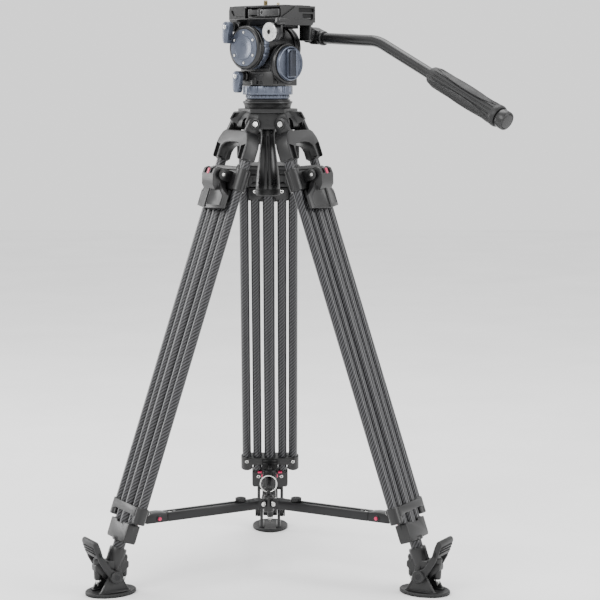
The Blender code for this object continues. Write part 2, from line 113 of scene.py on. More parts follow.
def coatedMaterial(name, look):
    # a sprayed or moulded skin: slow colour drift, fine grain in the bump, uneven gloss
    material, tree, shader = startMaterial(name, look.get("fixed", {}))
    coords = addNode(tree, "TexCoord")
    drift = addNode(tree, "TexNoise", None, {"Scale": 1000 / look["driftMm"], "Detail": 3.0,
        "Roughness": 0.55}, {"Vector": coords.outputs["Object"]})
    shade = addNode(tree, "ValToRGB", None, None, {"Fac": drift.outputs["Fac"]})
    rampStops(shade, ((0.3, look["dark"]), (0.7, look["light"])))
    tree.links.new(shade.outputs["Color"], shader.inputs["Base Color"])
    grain = addNode(tree, "TexNoise", None, {"Scale": 1000 / look["grainMm"], "Detail": 2.0,
        "Roughness": 0.6}, {"Vector": coords.outputs["Object"]})
    gloss = addNode(tree, "MapRange", None, {"From Min": 0.3, "From Max": 0.7,
        "To Min": look["rough"][0], "To Max": look["rough"][1]}, {"Value": drift.outputs["Fac"]})
    tree.links.new(gloss.outputs["Result"], shader.inputs["Roughness"])
    bump = addNode(tree, "Bump", None, {"Strength": look["bump"], "Distance": 0.0002},
        {"Height": grain.outputs["Fac"]})
    tree.links.new(bump.outputs["Normal"], shader.inputs["Normal"])
    return material


# cast magnesium alloy under satin black powder paint: soft broad highlights, faint orange peel
castingPaint = coatedMaterial("satinBlackPowderPaint", {"dark": "#09090a", "light": "#0f0f10",
    "rough": (0.33, 0.43), "driftMm": 30.0, "grainMm": 0.9, "bump": 0.10,
    "fixed": {"Specular IOR Level": 0.5, "IOR": 1.5}})
# the same paint, darker and duller: painted shade deep inside pockets, slots, gaps and screw holes;
# also the flange's own dark scale marks
shadeAndMarkPaint = coatedMaterial("paintedShadeAndMarks", {"dark": "#070708", "light": "#0b0b0c",
    "rough": (0.6, 0.7), "driftMm": 30.0, "grainMm": 0.9, "bump": 0.1,
    "fixed": {"Specular IOR Level": 0.3}})
# extruded aluminium, black anodised: darker, a little tighter in its shine
blackAnodised = coatedMaterial("blackAnodisedAluminium", {"dark": "#121213", "light": "#19191b",
    "rough": (0.30, 0.38), "driftMm": 22.0, "grainMm": 0.5, "bump": 0.10,
    "fixed": {"Metallic": 0.35}})
# pan bar and moulded clamp handle with a satin lacquer: broad soft reflections
satinLacquer = coatedMaterial("satinBlackLacquer", {"dark": "#0d0d0e", "light": "#131314",
    "rough": (0.26, 0.34), "driftMm": 40.0, "grainMm": 1.2, "bump": 0.05})
# turned aluminium, blue-grey anodised: cool satin metal
blueAnodised = coatedMaterial("blueGreyAnodisedAluminium", {"dark": "#4c515d", "light": "#595f6c",
    "rough": (0.26, 0.36), "driftMm": 18.0, "grainMm": 0.4, "bump": 0.08,
    "fixed": {"Metallic": 0.55}})
# the same anodising in a darker copy: painted shade on the knob's flats between the grips and on
# the lock levers' grip ribs
blueShade = coatedMaterial("paintedShadeBlueAnodised", {"dark": "#22252d", "light": "#2a2e38",
    "rough": (0.34, 0.42), "driftMm": 18.0, "grainMm": 0.4, "bump": 0.08,
    "fixed": {"Metallic": 0.5}})
# bright turned stainless steel: screws, spike tips, ring
brightSteel = coatedMaterial("turnedStainlessSteel", {"dark": "#c4c4c2", "light": "#dcdcda",
    "rough": (0.20, 0.30), "driftMm": 6.0, "grainMm": 0.3, "bump": 0.02,
    "fixed": {"Metallic": 0.9}})
# nickel-washed brass camera screws
paleBrass = coatedMaterial("paleTurnedBrass", {"dark": "#918870", "light": "#b5ab90",
    "rough": (0.25, 0.35), "driftMm": 5.0, "grainMm": 0.3, "bump": 0.05,
    "fixed": {"Metallic": 0.9}})
# moulded rubber of pads, straps and grip: matt, slightly dusty
mouldedRubber = coatedMaterial("mouldedBlackRubber", {"dark": "#0c0c0d", "light": "#121213",
    "rough": (0.46, 0.58), "driftMm": 14.0, "grainMm": 0.7, "bump": 0.06,
    "fixed": {"Specular IOR Level": 0.45}})
# crimson acetal buttons
redAcetal = coatedMaterial("crimsonAcetal", {"dark": "#b3164a", "light": "#cc2058",
    "rough": (0.28, 0.36), "driftMm": 8.0, "grainMm": 0.4, "bump": 0.05})


def carbonMaterial():
    # woven carbon under clear lacquer: 2/2 twill, its tows drawn wider than real so that
    # the diagonal shows
    material, tree, shader = startMaterial("lacqueredCarbonTwill", {"Roughness": 0.36,
        "Coat Weight": 0.2, "Coat Roughness": 0.15, "Specular IOR Level": 0.3})
    # u round the tube and v along it, both in millimetres
    coords = addNode(tree, "UVMap", {"uv_map": "tube"})
    split = addNode(tree, "SeparateXYZ", None, None, {"Vector": coords.outputs["UV"]})
    tows = {}
    for side in "XY":
        scaled = addNode(tree, "Math", {"operation": "DIVIDE"}, {1: towMm},
            {0: split.outputs[side]})
        tows[side] = scaled.outputs[0]
    steps = {side: addNode(tree, "Math", {"operation": "FLOOR"}, None, {0: tows[side]}).outputs[0]
        for side in "XY"}
    total = addNode(tree, "Math", {"operation": "SUBTRACT"}, None, {0: steps["Y"], 1: steps["X"]})
    turn = addNode(tree, "Math", {"operation": "FLOORED_MODULO"}, {1: 4.0}, {0: total.outputs[0]})
    over = addNode(tree, "Math", {"operation": "LESS_THAN"}, {1: 1.5}, {0: turn.outputs[0]})
    crowns = {}
    for side in "XY":  # each tow is rounded across its own width
        part = addNode(tree, "Math", {"operation": "FRACT"}, None, {0: tows[side]})
        wave = addNode(tree, "Math", {"operation": "MULTIPLY"}, {1: pi}, {0: part.outputs[0]})
        crowns[side] = addNode(tree, "Math", {"operation": "SINE"}, None,
            {0: wave.outputs[0]}).outputs[0]
    height = addNode(tree, "Mix", {"data_type": "FLOAT"}, None, {0: over.outputs[0], 2: crowns["X"],
        3: crowns["Y"]})
    # two tones for the tows running each way: the weave's own pattern, with the sheen each fibre
    # direction catches painted into the colour
    shade = addNode(tree, "Mix", {"data_type": "RGBA"}, {6: hexColour("#040405"),
        7: hexColour("#464649")}, {0: over.outputs[0]})
    # darker towards each tow's edges, where it dips under its neighbour: painted shade in the
    # creases of the weave
    deep = addNode(tree, "Mix", {"data_type": "RGBA", "blend_type": "MULTIPLY"}, {0: 0.45},
        {6: shade.outputs[2], 7: height.outputs[0]})
    tree.links.new(deep.outputs[2], shader.inputs["Base Color"])
    bump = addNode(tree, "Bump", None, {"Strength": 0.25, "Distance": 0.0002},
        {"Height": height.outputs[0]})
    tree.links.new(bump.outputs["Normal"], shader.inputs["Normal"])
    return material


carbonTwill = carbonMaterial()
print("materials made")


def choose(*pieces):
    if bpy.context.object and bpy.context.object.mode != "OBJECT":
        bpy.ops.object.mode_set(mode="OBJECT")
    bpy.ops.object.select_all(action="DESELECT")
    for piece in pieces:
        piece.select_set(True)
    bpy.context.view_layer.objects.active = pieces[0]


def copied(piece):
    choose(piece)
    bpy.ops.object.duplicate(linked=False)
    return bpy.context.active_object


def spotIn(across, a, b, along):
    return Vector({"x": (along, a, b), "y": (a, along, b), "z": (a, b, along)}[across]) * mm


# one corner, extruded from spot to spot, and filled if it is a face
def drawOut(shift):  # extrudes what is selected
    bpy.ops.mesh.extrude_region_move(TRANSFORM_OT_translate={"value": shift})


def drawnLine(name, spots, fill):
    if bpy.context.object:
        choose(bpy.context.object)
    bpy.ops.object.select_all(action="DESELECT")
    bpy.ops.mesh.primitive_plane_add(size=mm)
    piece = bpy.context.active_object
    piece.name = name
    bpy.ops.object.mode_set(mode="EDIT")
    bpy.ops.mesh.merge(type="CENTER")
    bpy.ops.transform.translate(value=spots[0])
    for here, there in zip(spots, spots[1:]):
        bpy.ops.mesh.extrude_vertices_move(TRANSFORM_OT_translate={"value": there - here})
    bpy.ops.mesh.select_all(action="SELECT")
    if fill:
        bpy.ops.mesh.edge_face_add()
    return piece


def tidyMesh(gap=0.004):
    bpy.ops.mesh.select_all(action="SELECT")
    bpy.ops.mesh.remove_doubles(threshold=gap * mm)
    bpy.ops.mesh.normals_make_consistent(inside=False)
    bpy.ops.object.mode_set(mode="OBJECT")


def soften(piece, edge, steps=2, angle=28):
    choose(piece)
    bevel = piece.modifiers.new("softEdge", "BEVEL")
    bevel.width = edge * mm
    bevel.segments = steps
    bevel.limit_method = "ANGLE"
    bevel.angle_limit = radians(angle)
    bevel.miter_outer = "MITER_ARC"
    bpy.ops.object.modifier_apply(modifier=bevel.name)
    return piece


def wear(piece, material, turnAngle=32):
    piece.data.materials.clear()
    piece.data.materials.append(material)
    choose(piece)
    bpy.ops.object.shade_smooth_by_angle(angle=radians(turnAngle))
    return piece


def slab(name, outline, across, low, high, material=castingPaint, edge=0.8, steps=2):
    piece = drawnLine(name, [spotIn(across, a, b, low) for a, b in outline], True)
    drawOut(spotIn(across, 0, 0, high - low))
    tidyMesh()
    if edge:
        soften(piece, edge, steps)
    return wear(piece, material)


def block(name, x, y, z, material=castingPaint, edge=0.8, steps=2):
    return slab(name, ((x[0], y[0]), (x[1], y[0]), (x[1], y[1]), (x[0], y[1])), "z", z[0], z[1],
        material, edge=edge, steps=steps)


def rod(radius, low, high):  # profile of a plain round piece
    return ((0, low), (radius, low), (radius, high), (0, high))


def bothSides(half):  # an outline's first half, then its mirror image
    return list(half) + [(-a, b) for a, b in reversed(half) if a]


def turned(name, profile, across, material=castingPaint, centre=(0, 0), steps=32, edge=0.0,
        closed=False):
    spots = [spotIn(across, centre[0] + r, centre[1], d) for r, d in profile]
    piece = drawnLine(name, spots + spots[:1] if closed else spots, False)
    way = {"x": (1, 0, 0), "y": (0, 1, 0), "z": (0, 0, 1)}[across]
    bpy.ops.mesh.spin(steps=steps, angle=2 * pi, center=spotIn(across, centre[0], centre[1], 0),
        axis=way)
    tidyMesh()
    if edge:
        soften(piece, edge, 2, 40)
    return wear(piece, material, 38)


def changed(piece, other, how):
    choose(piece)
    step = piece.modifiers.new("change", "BOOLEAN")
    step.operation = how
    step.solver = "EXACT"
    step.object = other
    bpy.ops.object.modifier_apply(modifier=step.name)
    bpy.data.objects.remove(other)
    choose(piece)
    bpy.ops.object.shade_smooth_by_angle(angle=radians(32))
    return piece


def carved(piece, *cutters):
    for cutter in cutters:
        changed(piece, cutter, "DIFFERENCE")
    return piece


def together(name, *pieces):
    choose(*pieces)
    bpy.ops.object.join()
    pieces[0].name = name
    return pieces[0]


def mirroredAcross(piece, plane="x"):  # adds the other half of a piece
    choose(piece)
    mirror = piece.modifiers.new("otherSide", "MIRROR")
    mirror.use_axis = [plane == side for side in "xyz"]
    mirror.use_mirror_merge = False
    bpy.ops.object.modifier_apply(modifier=mirror.name)
    bpy.ops.object.mode_set(mode="EDIT")
    bpy.ops.mesh.select_all(action="SELECT")
    bpy.ops.mesh.normals_make_consistent(inside=False)
    bpy.ops.object.mode_set(mode="OBJECT")
    return piece


def tilted(piece, turn, centre=(0, 0, 0)):  # turns a piece's mesh about a spot
    spot = Vector(centre) * mm
    piece.matrix_world = Matrix.Translation(spot) @ turn @ Matrix.Translation(-spot)
    choose(piece)
    bpy.ops.object.transform_apply(location=True, rotation=True, scale=True)
    return piece


def settle(piece, place, body, nodes=()):
    piece.matrix_world = place
    choose(piece)
    bpy.ops.object.transform_apply(location=True, rotation=True, scale=True)
    piece.data.name = piece.name
    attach(piece, body)
    if nodes:
        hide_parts(*nodes)


def onEachLeg(piece, place, bodyEnd, slotName, *nodeEnds):
    for key in "abc":
        copy = copied(piece)
        copy.name = piece.name + key.upper()
        settle(copy, place(key), "leg_" + key + "_" + bodyEnd,
            ["leg_" + key + "_" + end for end in nodeEnds])
    bpy.data.objects.remove(piece)


def hollowScrew(name, x, y, z, across="y", size=2.9, depth=1.3, side=-1):
    # bright sleeve screw with a dark hole
    profile = ((size * 0.45, 0), (size, 0), (size, side * depth * 0.7), (size * 0.85, side * depth),
        (size * 0.5, side * depth), (size * 0.45, side * depth * 0.6))
    centre = {"x": (y, z), "y": (x, z), "z": (x, y)}[across]
    start = {"x": x, "y": y, "z": z}[across]
    return turned(name, [(r, start + d) for r, d in profile], across, brightSteel, centre=centre,
        steps=20, closed=True)


def screwHoleShade(x, y, z):  # painted shade at the bottom of a sleeve screw's hole
    return turned("screwHoleShade", rod(1.5, y, y - 0.2), "y", shadeAndMarkPaint, centre=(x, z), steps=16)


def boltHead(name, x, y, z, across, size, height, side, material):
    # domed head with a hexagonal socket
    centre = {"x": (y, z), "y": (x, z), "z": (x, y)}[across]
    start = {"x": x, "y": y, "z": z}[across]
    profile = [(0, start), (size, start), (size, start + side * height * 0.55), (size * 0.8,
        start + side * height * 0.92), (size * 0.45, start + side * height),
        (0, start + side * height)]
    head = turned(name, profile, across, material, centre=centre, steps=24)
    socket = turned("socket", [(0, start + side * height * 0.4), (size * 0.4,
        start + side * height * 0.4), (size * 0.4, start + side * height * 1.4),
        (0, start + side * height * 1.4)], across, material, centre=centre, steps=6)
    return carved(head, socket)


def tubeMap(piece, radius, centre=(0, 0)):  # u round the tube and v along it, in millimetres
    mesh = piece.data
    chart = mesh.uv_layers.new(name="tube")
    repeat = 4 * towMm
    girth = round(2 * pi * radius / repeat) * repeat  # whole repeats, so that the seam closes
    for face in mesh.polygons:
        middle = atan2(face.center.y / mm - centre[1], face.center.x / mm - centre[0])
        for loop in face.loop_indices:
            spot = mesh.vertices[mesh.loops[loop].vertex_index].co / mm
            turn = atan2(spot.y - centre[1], spot.x - centre[0])
            turn = middle + (turn - middle + pi) % (2 * pi) - pi
            chart.data[loop].uv = (turn / (2 * pi) * girth, spot.z)
    return piece


def carbonTube(name, radius, low, high, x=0.0):
    tube = turned(name, rod(radius, low, high), "z", carbonTwill, centre=(x, 0))
    return tubeMap(tube, radius, (x, 0))


yokeSizes = {"ear": (23.0, 30.0), "earRadius": 9.5, "socketAt": 37.5, "socketRadius": 9.3,
    "bottom": -56.5}


def makeYoke(size):
    shell = slab("yokeShell", bothSides(((-31, -13), (-37, -16), (-44, -25), (-46.8, -34),
        (-46.8, -55), (-28.5, -55), (-28.5, -43), (-25.5, -37), (-19, -33), (-8, -31.5))), "y",
        -9.0, 12.5, edge=2.2, steps=3)
    lowPocket = slab("lowPocket", ((31.5, -36), (43.5, -33), (44, -60), (32, -60)), "y", 7.5, 20.0)
    shell = carved(shell, mirroredAcross(lowPocket))
    outer = size["socketRadius"]
    socket = turned("socket", ((0, -31), (outer - 1, -31), (outer, -34),
        (outer, size["bottom"] + 1.2), (outer - 1.1, size["bottom"]), (0, size["bottom"])), "z",
        centre=(size["socketAt"], 0))
    r = size["earRadius"]
    rim = [(r * cos(radians(a)), r * sin(radians(a))) for a in range(-8, 190, 14)]
    ear = slab("ear", [(-8.7, -26), (-10.2, -14)] + rim[::-1] + [(12.2, -17), (11.5, -26)], "x",
        size["ear"][0], size["ear"][1], edge=1.0)
    collar = turned("earRing", ((5.6, 29.6), (8.4, 29.6), (8.4, 30.9), (7.6, 31.5), (6.2, 31.5),
        (5.6, 30.9)), "x", closed=True)
    web = slab("web", ((-8, -16), (11, -14), (12, -30), (-8, -30)), "x", 20.0, 24.0, edge=1.2)
    yoke = together("yoke", shell, mirroredAcross(together("side", socket, ear, collar, web)))
    onEachLeg(yoke, legPlace, "upper", "casting", "yoke")
    # a dark disc inside the ear ring round the bolt head: painted shade in the recess
    seat = turned("boltRecessShade", rod(5.5, 29.9, 30.3), "x", shadeAndMarkPaint, steps=24)
    bolt = boltHead("hingeBolt", 30.2, 0, 0, "x", 4.3, 2.0, 1, brightSteel)
    onEachLeg(mirroredAcross(together("hingeBolts", bolt, seat)), legPlace, "upper", "steel")


tubeSizes = {"outer": (7.0, 37.5, 112.5), "inner": (7.0, 20.2, 82.0), "centre": (9.0, 0.0, 62.0),
    "top": 609.4}


def makeTubes(size):
    outer = carbonTube("outerTube", size["outer"][0], upLeg(size["outer"][2]), -50.0,
        size["outer"][1])
    other = carbonTube("outerTubeB", size["outer"][0], upLeg(size["outer"][2]), -50.0,
        -size["outer"][1])
    onEachLeg(together("outerTubes", outer, other), legPlace, "upper", "carbon", "outer_tubes")
    inner = carbonTube("innerTube", size["inner"][0], upLeg(size["inner"][2]), upLeg(size["top"]),
        size["inner"][1])
    other = carbonTube("innerTubeB", size["inner"][0], upLeg(size["inner"][2]), upLeg(size["top"]),
        -size["inner"][1])
    onEachLeg(together("innerTubes", inner, other), legPlace, "middle", "carbon", "inner_tubes")
    centre = carbonTube("centreTube", size["centre"][0], upLeg(size["centre"][2]),
        upLeg(size["top"]))
    onEachLeg(centre, legPlace, "lower", "carbon", "centre_tube")


collarSizes = {"low": 112.0, "high": 136.0, "lobe": 9.3, "deep": 10.0}


def makeCollar(size):
    low, high = upLeg(size["low"]), upLeg(size["high"])
    bridge = slab("bridge", ((-37, low + 9), (-30, low + 9.5), (-27, low + 11), (27, low + 11),
        (30, low + 9.5), (37, low + 9), (37, high - 0.6), (-37, high - 0.6)), "y", -size["deep"],
        size["deep"], edge=1.0)
    holes = turned("hole", rod(9.2, low - 5, high + 5), "z")
    side = turned("hole2", rod(7.4, low - 5, high + 5), "z", centre=(20.2, 0))
    bridge = carved(bridge, holes, mirroredAcross(side))
    lobe = turned("lobe", ((0, low), (size["lobe"] - 0.8, low), (size["lobe"], low + 0.8),
        (size["lobe"], high - 0.8), (size["lobe"] - 0.8, high), (0, high)), "z", centre=(37.5, 0),
        steps=36)
    ledge = slab("ledge", ((28.5, low + 2), (36, low + 0.8), (36, high - 2), (28.5, high - 1)), "y",
        -7.4, 7.4, edge=1.2)
    boss = turned("screwBoss", ((0, -8.0), (4.2, -8.0), (4.2, -10.2), (3.6, -10.8), (0, -10.8)),
        "y", centre=(37.2, low + 18), steps=24)
    side = mirroredAcross(together("collarSide", lobe, ledge, boss))
    lug = slab("armLug", ((-8, low + 2.8), (-8, low + 15), (-24, low + 13.6), (-29.5, low + 11.8),
        (-32.3, low + 8.4), (-31.6, low + 4.8), (-28.5, low + 2.2), (-24.5, low + 1.6)), "x", -4.0,
        4.0, edge=0.9)
    pin = turned("lugPin", rod(3.2, -4.3, 4.3), "x", brightSteel, centre=(-27.7, upLeg(118.8)),
        steps=20)
    # the panel under the lug and between the ribs is in the darker paint: painted shade
    mount = slab("lugMount", ((-13, low + 1), (13, low + 1), (13, high - 1.5), (-13, high - 1.5)),
        "y", -11.6, -8.0, shadeAndMarkPaint, edge=1.2)
    ribs = [block("rib", (-10.5, 10.5), (-12.6, -10.5), (z, z + 2.2), edge=0.5)
        for z in (high - 5, high - 10)]
    collar = together("legCollar", bridge, side, lug, mount, pin, *ribs)
    onEachLeg(collar, legPlace, "upper", "casting")
    screws = hollowScrew("collarScrew", 37.2, -10.7, low + 18)
    onEachLeg(mirroredAcross(screws), legPlace, "upper", "steel")
    onEachLeg(mirroredAcross(screwHoleShade(37.2, -10.6, low + 18)), legPlace, "upper", "casting")


lowBlockSizes = {"low": 81.0, "high": 108.7, "deep": 9.6}


def makeLowBlock(size):
    low, high = upLeg(size["low"]), upLeg(size["high"])
    body = slab("lowBlock", ((-27, low), (27, low), (29, low + 3.5), (29, high), (10.5, high),
        (10.5, high - 2.5), (-10.5, high - 2.5), (-10.5, high), (-29, high), (-29, low + 3.5)), "y",
        -size["deep"], size["deep"], edge=2.6, steps=3)
    hole = turned("hole", rod(9.5, low - 5, high + 5), "z")
    groove = block("groove", (-8.5, 8.5), (-14, -8.7), (low + 3, high + 4), edge=1.5)
    body = carved(body, hole, groove)
    sleeve = turned("sleeve", ((0, low + 2), (8.7, low + 2), (8.9, low + 3), (8.9, high + 0.0),
        (8.2, high + 0.9), (0, high + 0.9)), "z", centre=(20.2, 0), steps=28)
    clampRing = turned("clampRing", ((9.4, low - 1.5), (11.6, low - 1.5), (12.4, low - 0.5),
        (12.4, low + 3), (9.4, low + 3)), "z", closed=True)
    onEachLeg(together("stageBlock", body, mirroredAcross(sleeve), clampRing), legPlace, "middle",
        "casting")
    screw = hollowScrew("blockScrew", 18.6, -9.5, high - 7.5)
    dark = screwHoleShade(18.6, -9.6, high - 7.5)
    onEachLeg(mirroredAcross(together("blockScrews", screw, dark)), legPlace, "middle", "steel")
    button = slab("stageButton", ((13.0, high - 1.4), (19.8, high - 1.4), (19.8, high + 1.6),
        (13.0, high + 1.6)), "y", -10.5, -7.4, redAcetal, edge=0.9)
    onEachLeg(mirroredAcross(button), legPlace, "middle", "casting")


housingSizes = {"low": 610.3, "high": 643.0, "sleeve": 10.3}


def makeHousing(size):
    low, high = upLeg(size["low"]), upLeg(size["high"])
    sleeve = turned("sleeve", ((7.2, low), (size["sleeve"] - 0.8, low), (size["sleeve"], low + 1),
        (size["sleeve"], high - 1), (size["sleeve"] - 0.8, high), (7.2, high)), "z",
        centre=(37.5, 0), steps=36, closed=True)
    seam = slab("seam", ((46.5, low + 1), (49.2, low + 3), (49.2, high - 3), (46.5, high - 1)), "y",
        -2.2, 2.2, edge=0.9)
    crest = upLeg(646)
    top = slab("topPlate", ((-33, -8.4), (33, -8.4), (34, -5), (34, 6), (30, 8.8), (-30, 8.8),
        (-34, 6), (-34, -5)), "z", crest - 7, crest - 0.4, edge=1.6, steps=3)
    core = slab("core", ((-31, -6.4), (31, -6.4), (31, 7.6), (-31, 7.6)), "z", low, crest - 6,
        edge=1.0)
    rail = block("rail", (-27, 27), (-8.6, -5.8), (high - 16, high - 12.5), edge=0.7)
    lowRail = block("lowRail", (-27, 27), (-8.6, -5.8), (low + 1, low + 7), edge=0.9)
    ribs = [block("rib", (x - 1.3, x + 1.3), (-8.2, -5.8), (low + 4, high - 13), edge=0.5)
        for x in (-26, -9, 9, 26)]
    cheek = slab("cheek", ((7, upLeg(621)), (22, upLeg(620)), (27.5, upLeg(624)),
        (27.5, upLeg(633)), (22, upLeg(637)), (7, upLeg(637))), "x", 18.2, 22.4, edge=1.2)
    roundel = turned("roundel", ((0, 22.0), (7.2, 22.0), (7.2, 23.4), (6.4, 24.0), (4.0, 24.0),
        (3.6, 23.4), (0, 23.4)), "x", centre=(22, upLeg(628)), steps=28)
    side = mirroredAcross(together("housingSide", sleeve, seam, cheek, roundel))
    onEachLeg(together("lockHousing", side, top, core, rail, lowRail, *ribs), legPlace, "upper",
        "casting", "lock_housing")
    pin = boltHead("lockPin", 23.2, 22, upLeg(628), "x", 2.6, 1.2, 1, brightSteel)
    onEachLeg(mirroredAcross(pin), legPlace, "upper", "steel")
    # ferrule that carries the inner tubes' upper ends
    ferrule = slab("ferrule", ((-29, upLeg(592)), (-26, upLeg(590)), (-12, upLeg(590)),
        (-10.5, upLeg(595)), (10.5, upLeg(595)), (12, upLeg(590)), (26, upLeg(590)),
        (29, upLeg(592)), (29, upLeg(609.6)), (-29, upLeg(609.6))), "y", -8.6, 8.6, edge=1.1)
    screw = hollowScrew("ferruleScrew", 20.2, -8.5, upLeg(604))
    dark = screwHoleShade(20.2, -8.6, upLeg(604))
    onEachLeg(ferrule, legPlace, "middle", "casting")
    onEachLeg(mirroredAcross(together("ferruleScrews", screw, dark)), legPlace, "middle", "steel")


leverSizes = {"foot": 575.5, "ridge": 25.4, "edge": 18.4, "slopeWide": 36}


def makeLockLever(size):
    foot, ridge = upLeg(size["foot"]), size["ridge"]
    edge, slopeWide = size["edge"], size["slopeWide"]
    cover = slab("lockLever", bothSides(((-40, 12.6), (-40, 16.2), (-slopeWide, edge), (0, ridge))),
        "z", foot, upLeg(618), edge=0)
    # the shoulders slope in to the cam end, and the foot tapers to the ridge
    wedge = slab("wedge", ((17.5, upLeg(621)), (24, upLeg(611)), (40, upLeg(600)), (60, upLeg(594)),
        (60, upLeg(644)), (17.5, upLeg(644))), "y", 0, 60, edge=0)
    heel = slab("heel", ((44, foot + 5), (20, foot + 2.2), (0, foot + 0.4), (0, foot - 8),
        (60, foot - 8), (60, foot + 8)), "y", 0, 60, edge=0)
    cover = carved(cover, mirroredAcross(wedge), mirroredAcross(heel))
    cam = slab("cam", ((13.2, upLeg(608)), (13.2, upLeg(634)), (15, upLeg(637)), (30, upLeg(637)),
        (34.6, upLeg(633)), (35.5, upLeg(624)), (31, upLeg(610)), (25, upLeg(604))), "x", -17.4,
        17.4, edge=0)
    cover = changed(cover, cam, "UNION")
    notch = block("notch", (5.5, 11.5), (24, 50), (upLeg(626), upLeg(644)))
    cover = carved(cover, mirroredAcross(notch))
    hollow = slab("hollow", ((-34, foot - 6), (34, foot - 6), (34, upLeg(598)), (-34, upLeg(598))),
        "y", 0, 14.4, edge=0)
    cover = carved(cover, hollow)
    soften(cover, 1.3, 3, 30)
    wear(cover, castingPaint)
    # inset panels on both slopes of the cover
    panels = []
    slope = atan2(ridge - edge, slopeWide)
    for side in (-1, 1):
        outline = [(side * x, z) for x, z in ((3.2, upLeg(580)), (3.2, upLeg(605)), (9, upLeg(610)),
            (19, upLeg(610)), (34.5, upLeg(598.5)), (34.5, upLeg(582.5)))]
        panel = slab("panel", outline, "y", 24.9, 26.1, edge=0.7)
        frameCut = slab("frameCut", [(side * x, z) for x, z in ((4.4, upLeg(581.4)),
            (4.4, upLeg(604.2)), (9.5, upLeg(608.6)), (18.6, upLeg(608.6)), (33.2, upLeg(597.8)),
            (33.2, upLeg(583.6)))], "y", 25.6, 27.5, edge=0.3)
        panel = carved(panel, frameCut)
        panels.append(tilted(panel, Matrix.Rotation(-side * slope, 4, "Z"), (0, 25.1, 0)))
    crest = slab("crest", ((-1.6, foot + 1.5), (1.6, foot + 1.5), (1.6, upLeg(618)),
        (-1.6, upLeg(618))), "y", 23.0, 26.6, edge=1.0)
    onEachLeg(together("lockLever", cover, crest, *panels), legPlace, "lock", "casting",
        "lock_lever")
    window = slab("window", ((-2.6, upLeg(624.5)), (2.6, upLeg(624.5)), (2.6, upLeg(633)),
        (-2.6, upLeg(633))), "y", 34.2, 36.0, redAcetal, edge=1.6, steps=3)
    onEachLeg(window, legPlace, "lock", "casting")


footSizes = {"pad": (38.3, 28.9), "floor": -28.0, "teeth": 44}


def makePad(size):
    long, wide = size["pad"]
    floor = size["floor"]
    profile = ((0, floor), (long - 1.6, floor), (long - 0.4, floor + 0.8), (long, floor + 2.2),
        (long - 0.1, floor + 4.6), (long - 1.2, floor + 5.6), (long - 3.4, floor + 5.6),
        (long - 6, floor + 4.6), (24, floor + 3.6), (14, floor + 4), (0, floor + 4.2))
    pad = turned("footPad", profile, "z", mouldedRubber, steps=size["teeth"] * 2)
    # every second step of the rim is pressed in, which leaves its teeth
    choose(pad)
    bpy.ops.object.mode_set(mode="EDIT")
    bpy.ops.mesh.select_all(action="DESELECT")
    bpy.ops.mesh.select_mode(type="FACE")
    bpy.ops.object.mode_set(mode="OBJECT")
    for face in pad.data.polygons:
        spot = face.center / mm
        turn = int(atan2(spot.y, spot.x) / (2 * pi) * size["teeth"] * 2 + 1000)
        onRim = floor + 0.1 < spot.z < floor + 1.7 and spot.xy.length > long - 2.2
        face.select = turn % 2 == 0 and onRim
    bpy.ops.object.mode_set(mode="EDIT")
    bpy.ops.mesh.extrude_region_shrink_fatten(TRANSFORM_OT_shrink_fatten={"value": -0.9 * mm})
    bpy.ops.mesh.select_mode(type="VERT")
    bpy.ops.object.mode_set(mode="OBJECT")
    pad.scale = (wide / long, 1, 1)
    choose(pad)
    bpy.ops.object.transform_apply(location=False, rotation=False, scale=True)
    plate = slab("plate", ((-25, floor + 3.4), (25, floor + 3.4), (22, floor + 7), (9.4, 1),
        (7.6, 5.6), (3.6, 8.7), (-3.6, 8.7), (-7.6, 5.6), (-9.4, 1), (-22, floor + 7)), "x", 12.0,
        16.0, edge=0.9)
    edging = slab("edging", bothSides(((-24.4, floor + 3.6), (-21.4, floor + 7), (-9.0, 1.4),
        (-5.4, 1.4), (-18.8, floor + 7))), "x", 15.6, 16.5, edge=0.3)
    plate = together("plate", plate, edging)
    base = slab("base", ((9.5, -24), (18, -24), (18, 24), (9.5, 24)), "z", floor + 3.2, floor + 6.2,
        edge=1.0)
    axle = turned("axle", ((0, 11.8), (4.0, 11.8), (4.0, 21.8), (8.8, 21.8), (9.4, 22.4),
        (9.4, 23.6), (8.6, 24.4), (7.2, 24.4), (6.8, 23.9), (0, 23.9)), "x", steps=28)
    bracket = mirroredAcross(together("padSide", plate, base, axle))
    onEachLeg(pad, footPlace, "pad", "rubber", "foot_pad")
    bracket.name = "padBracket"
    onEachLeg(bracket, footPlace, "pad", "casting")
    screw = boltHead("padScrew", 23.8, 0, 0, "x", 4.4, 0.6, 1, blackAnodised)
    onEachLeg(mirroredAcross(screw), footPlace, "pad", "casting")


spikeSizes = {"apart": 20}  # each spike from the middle


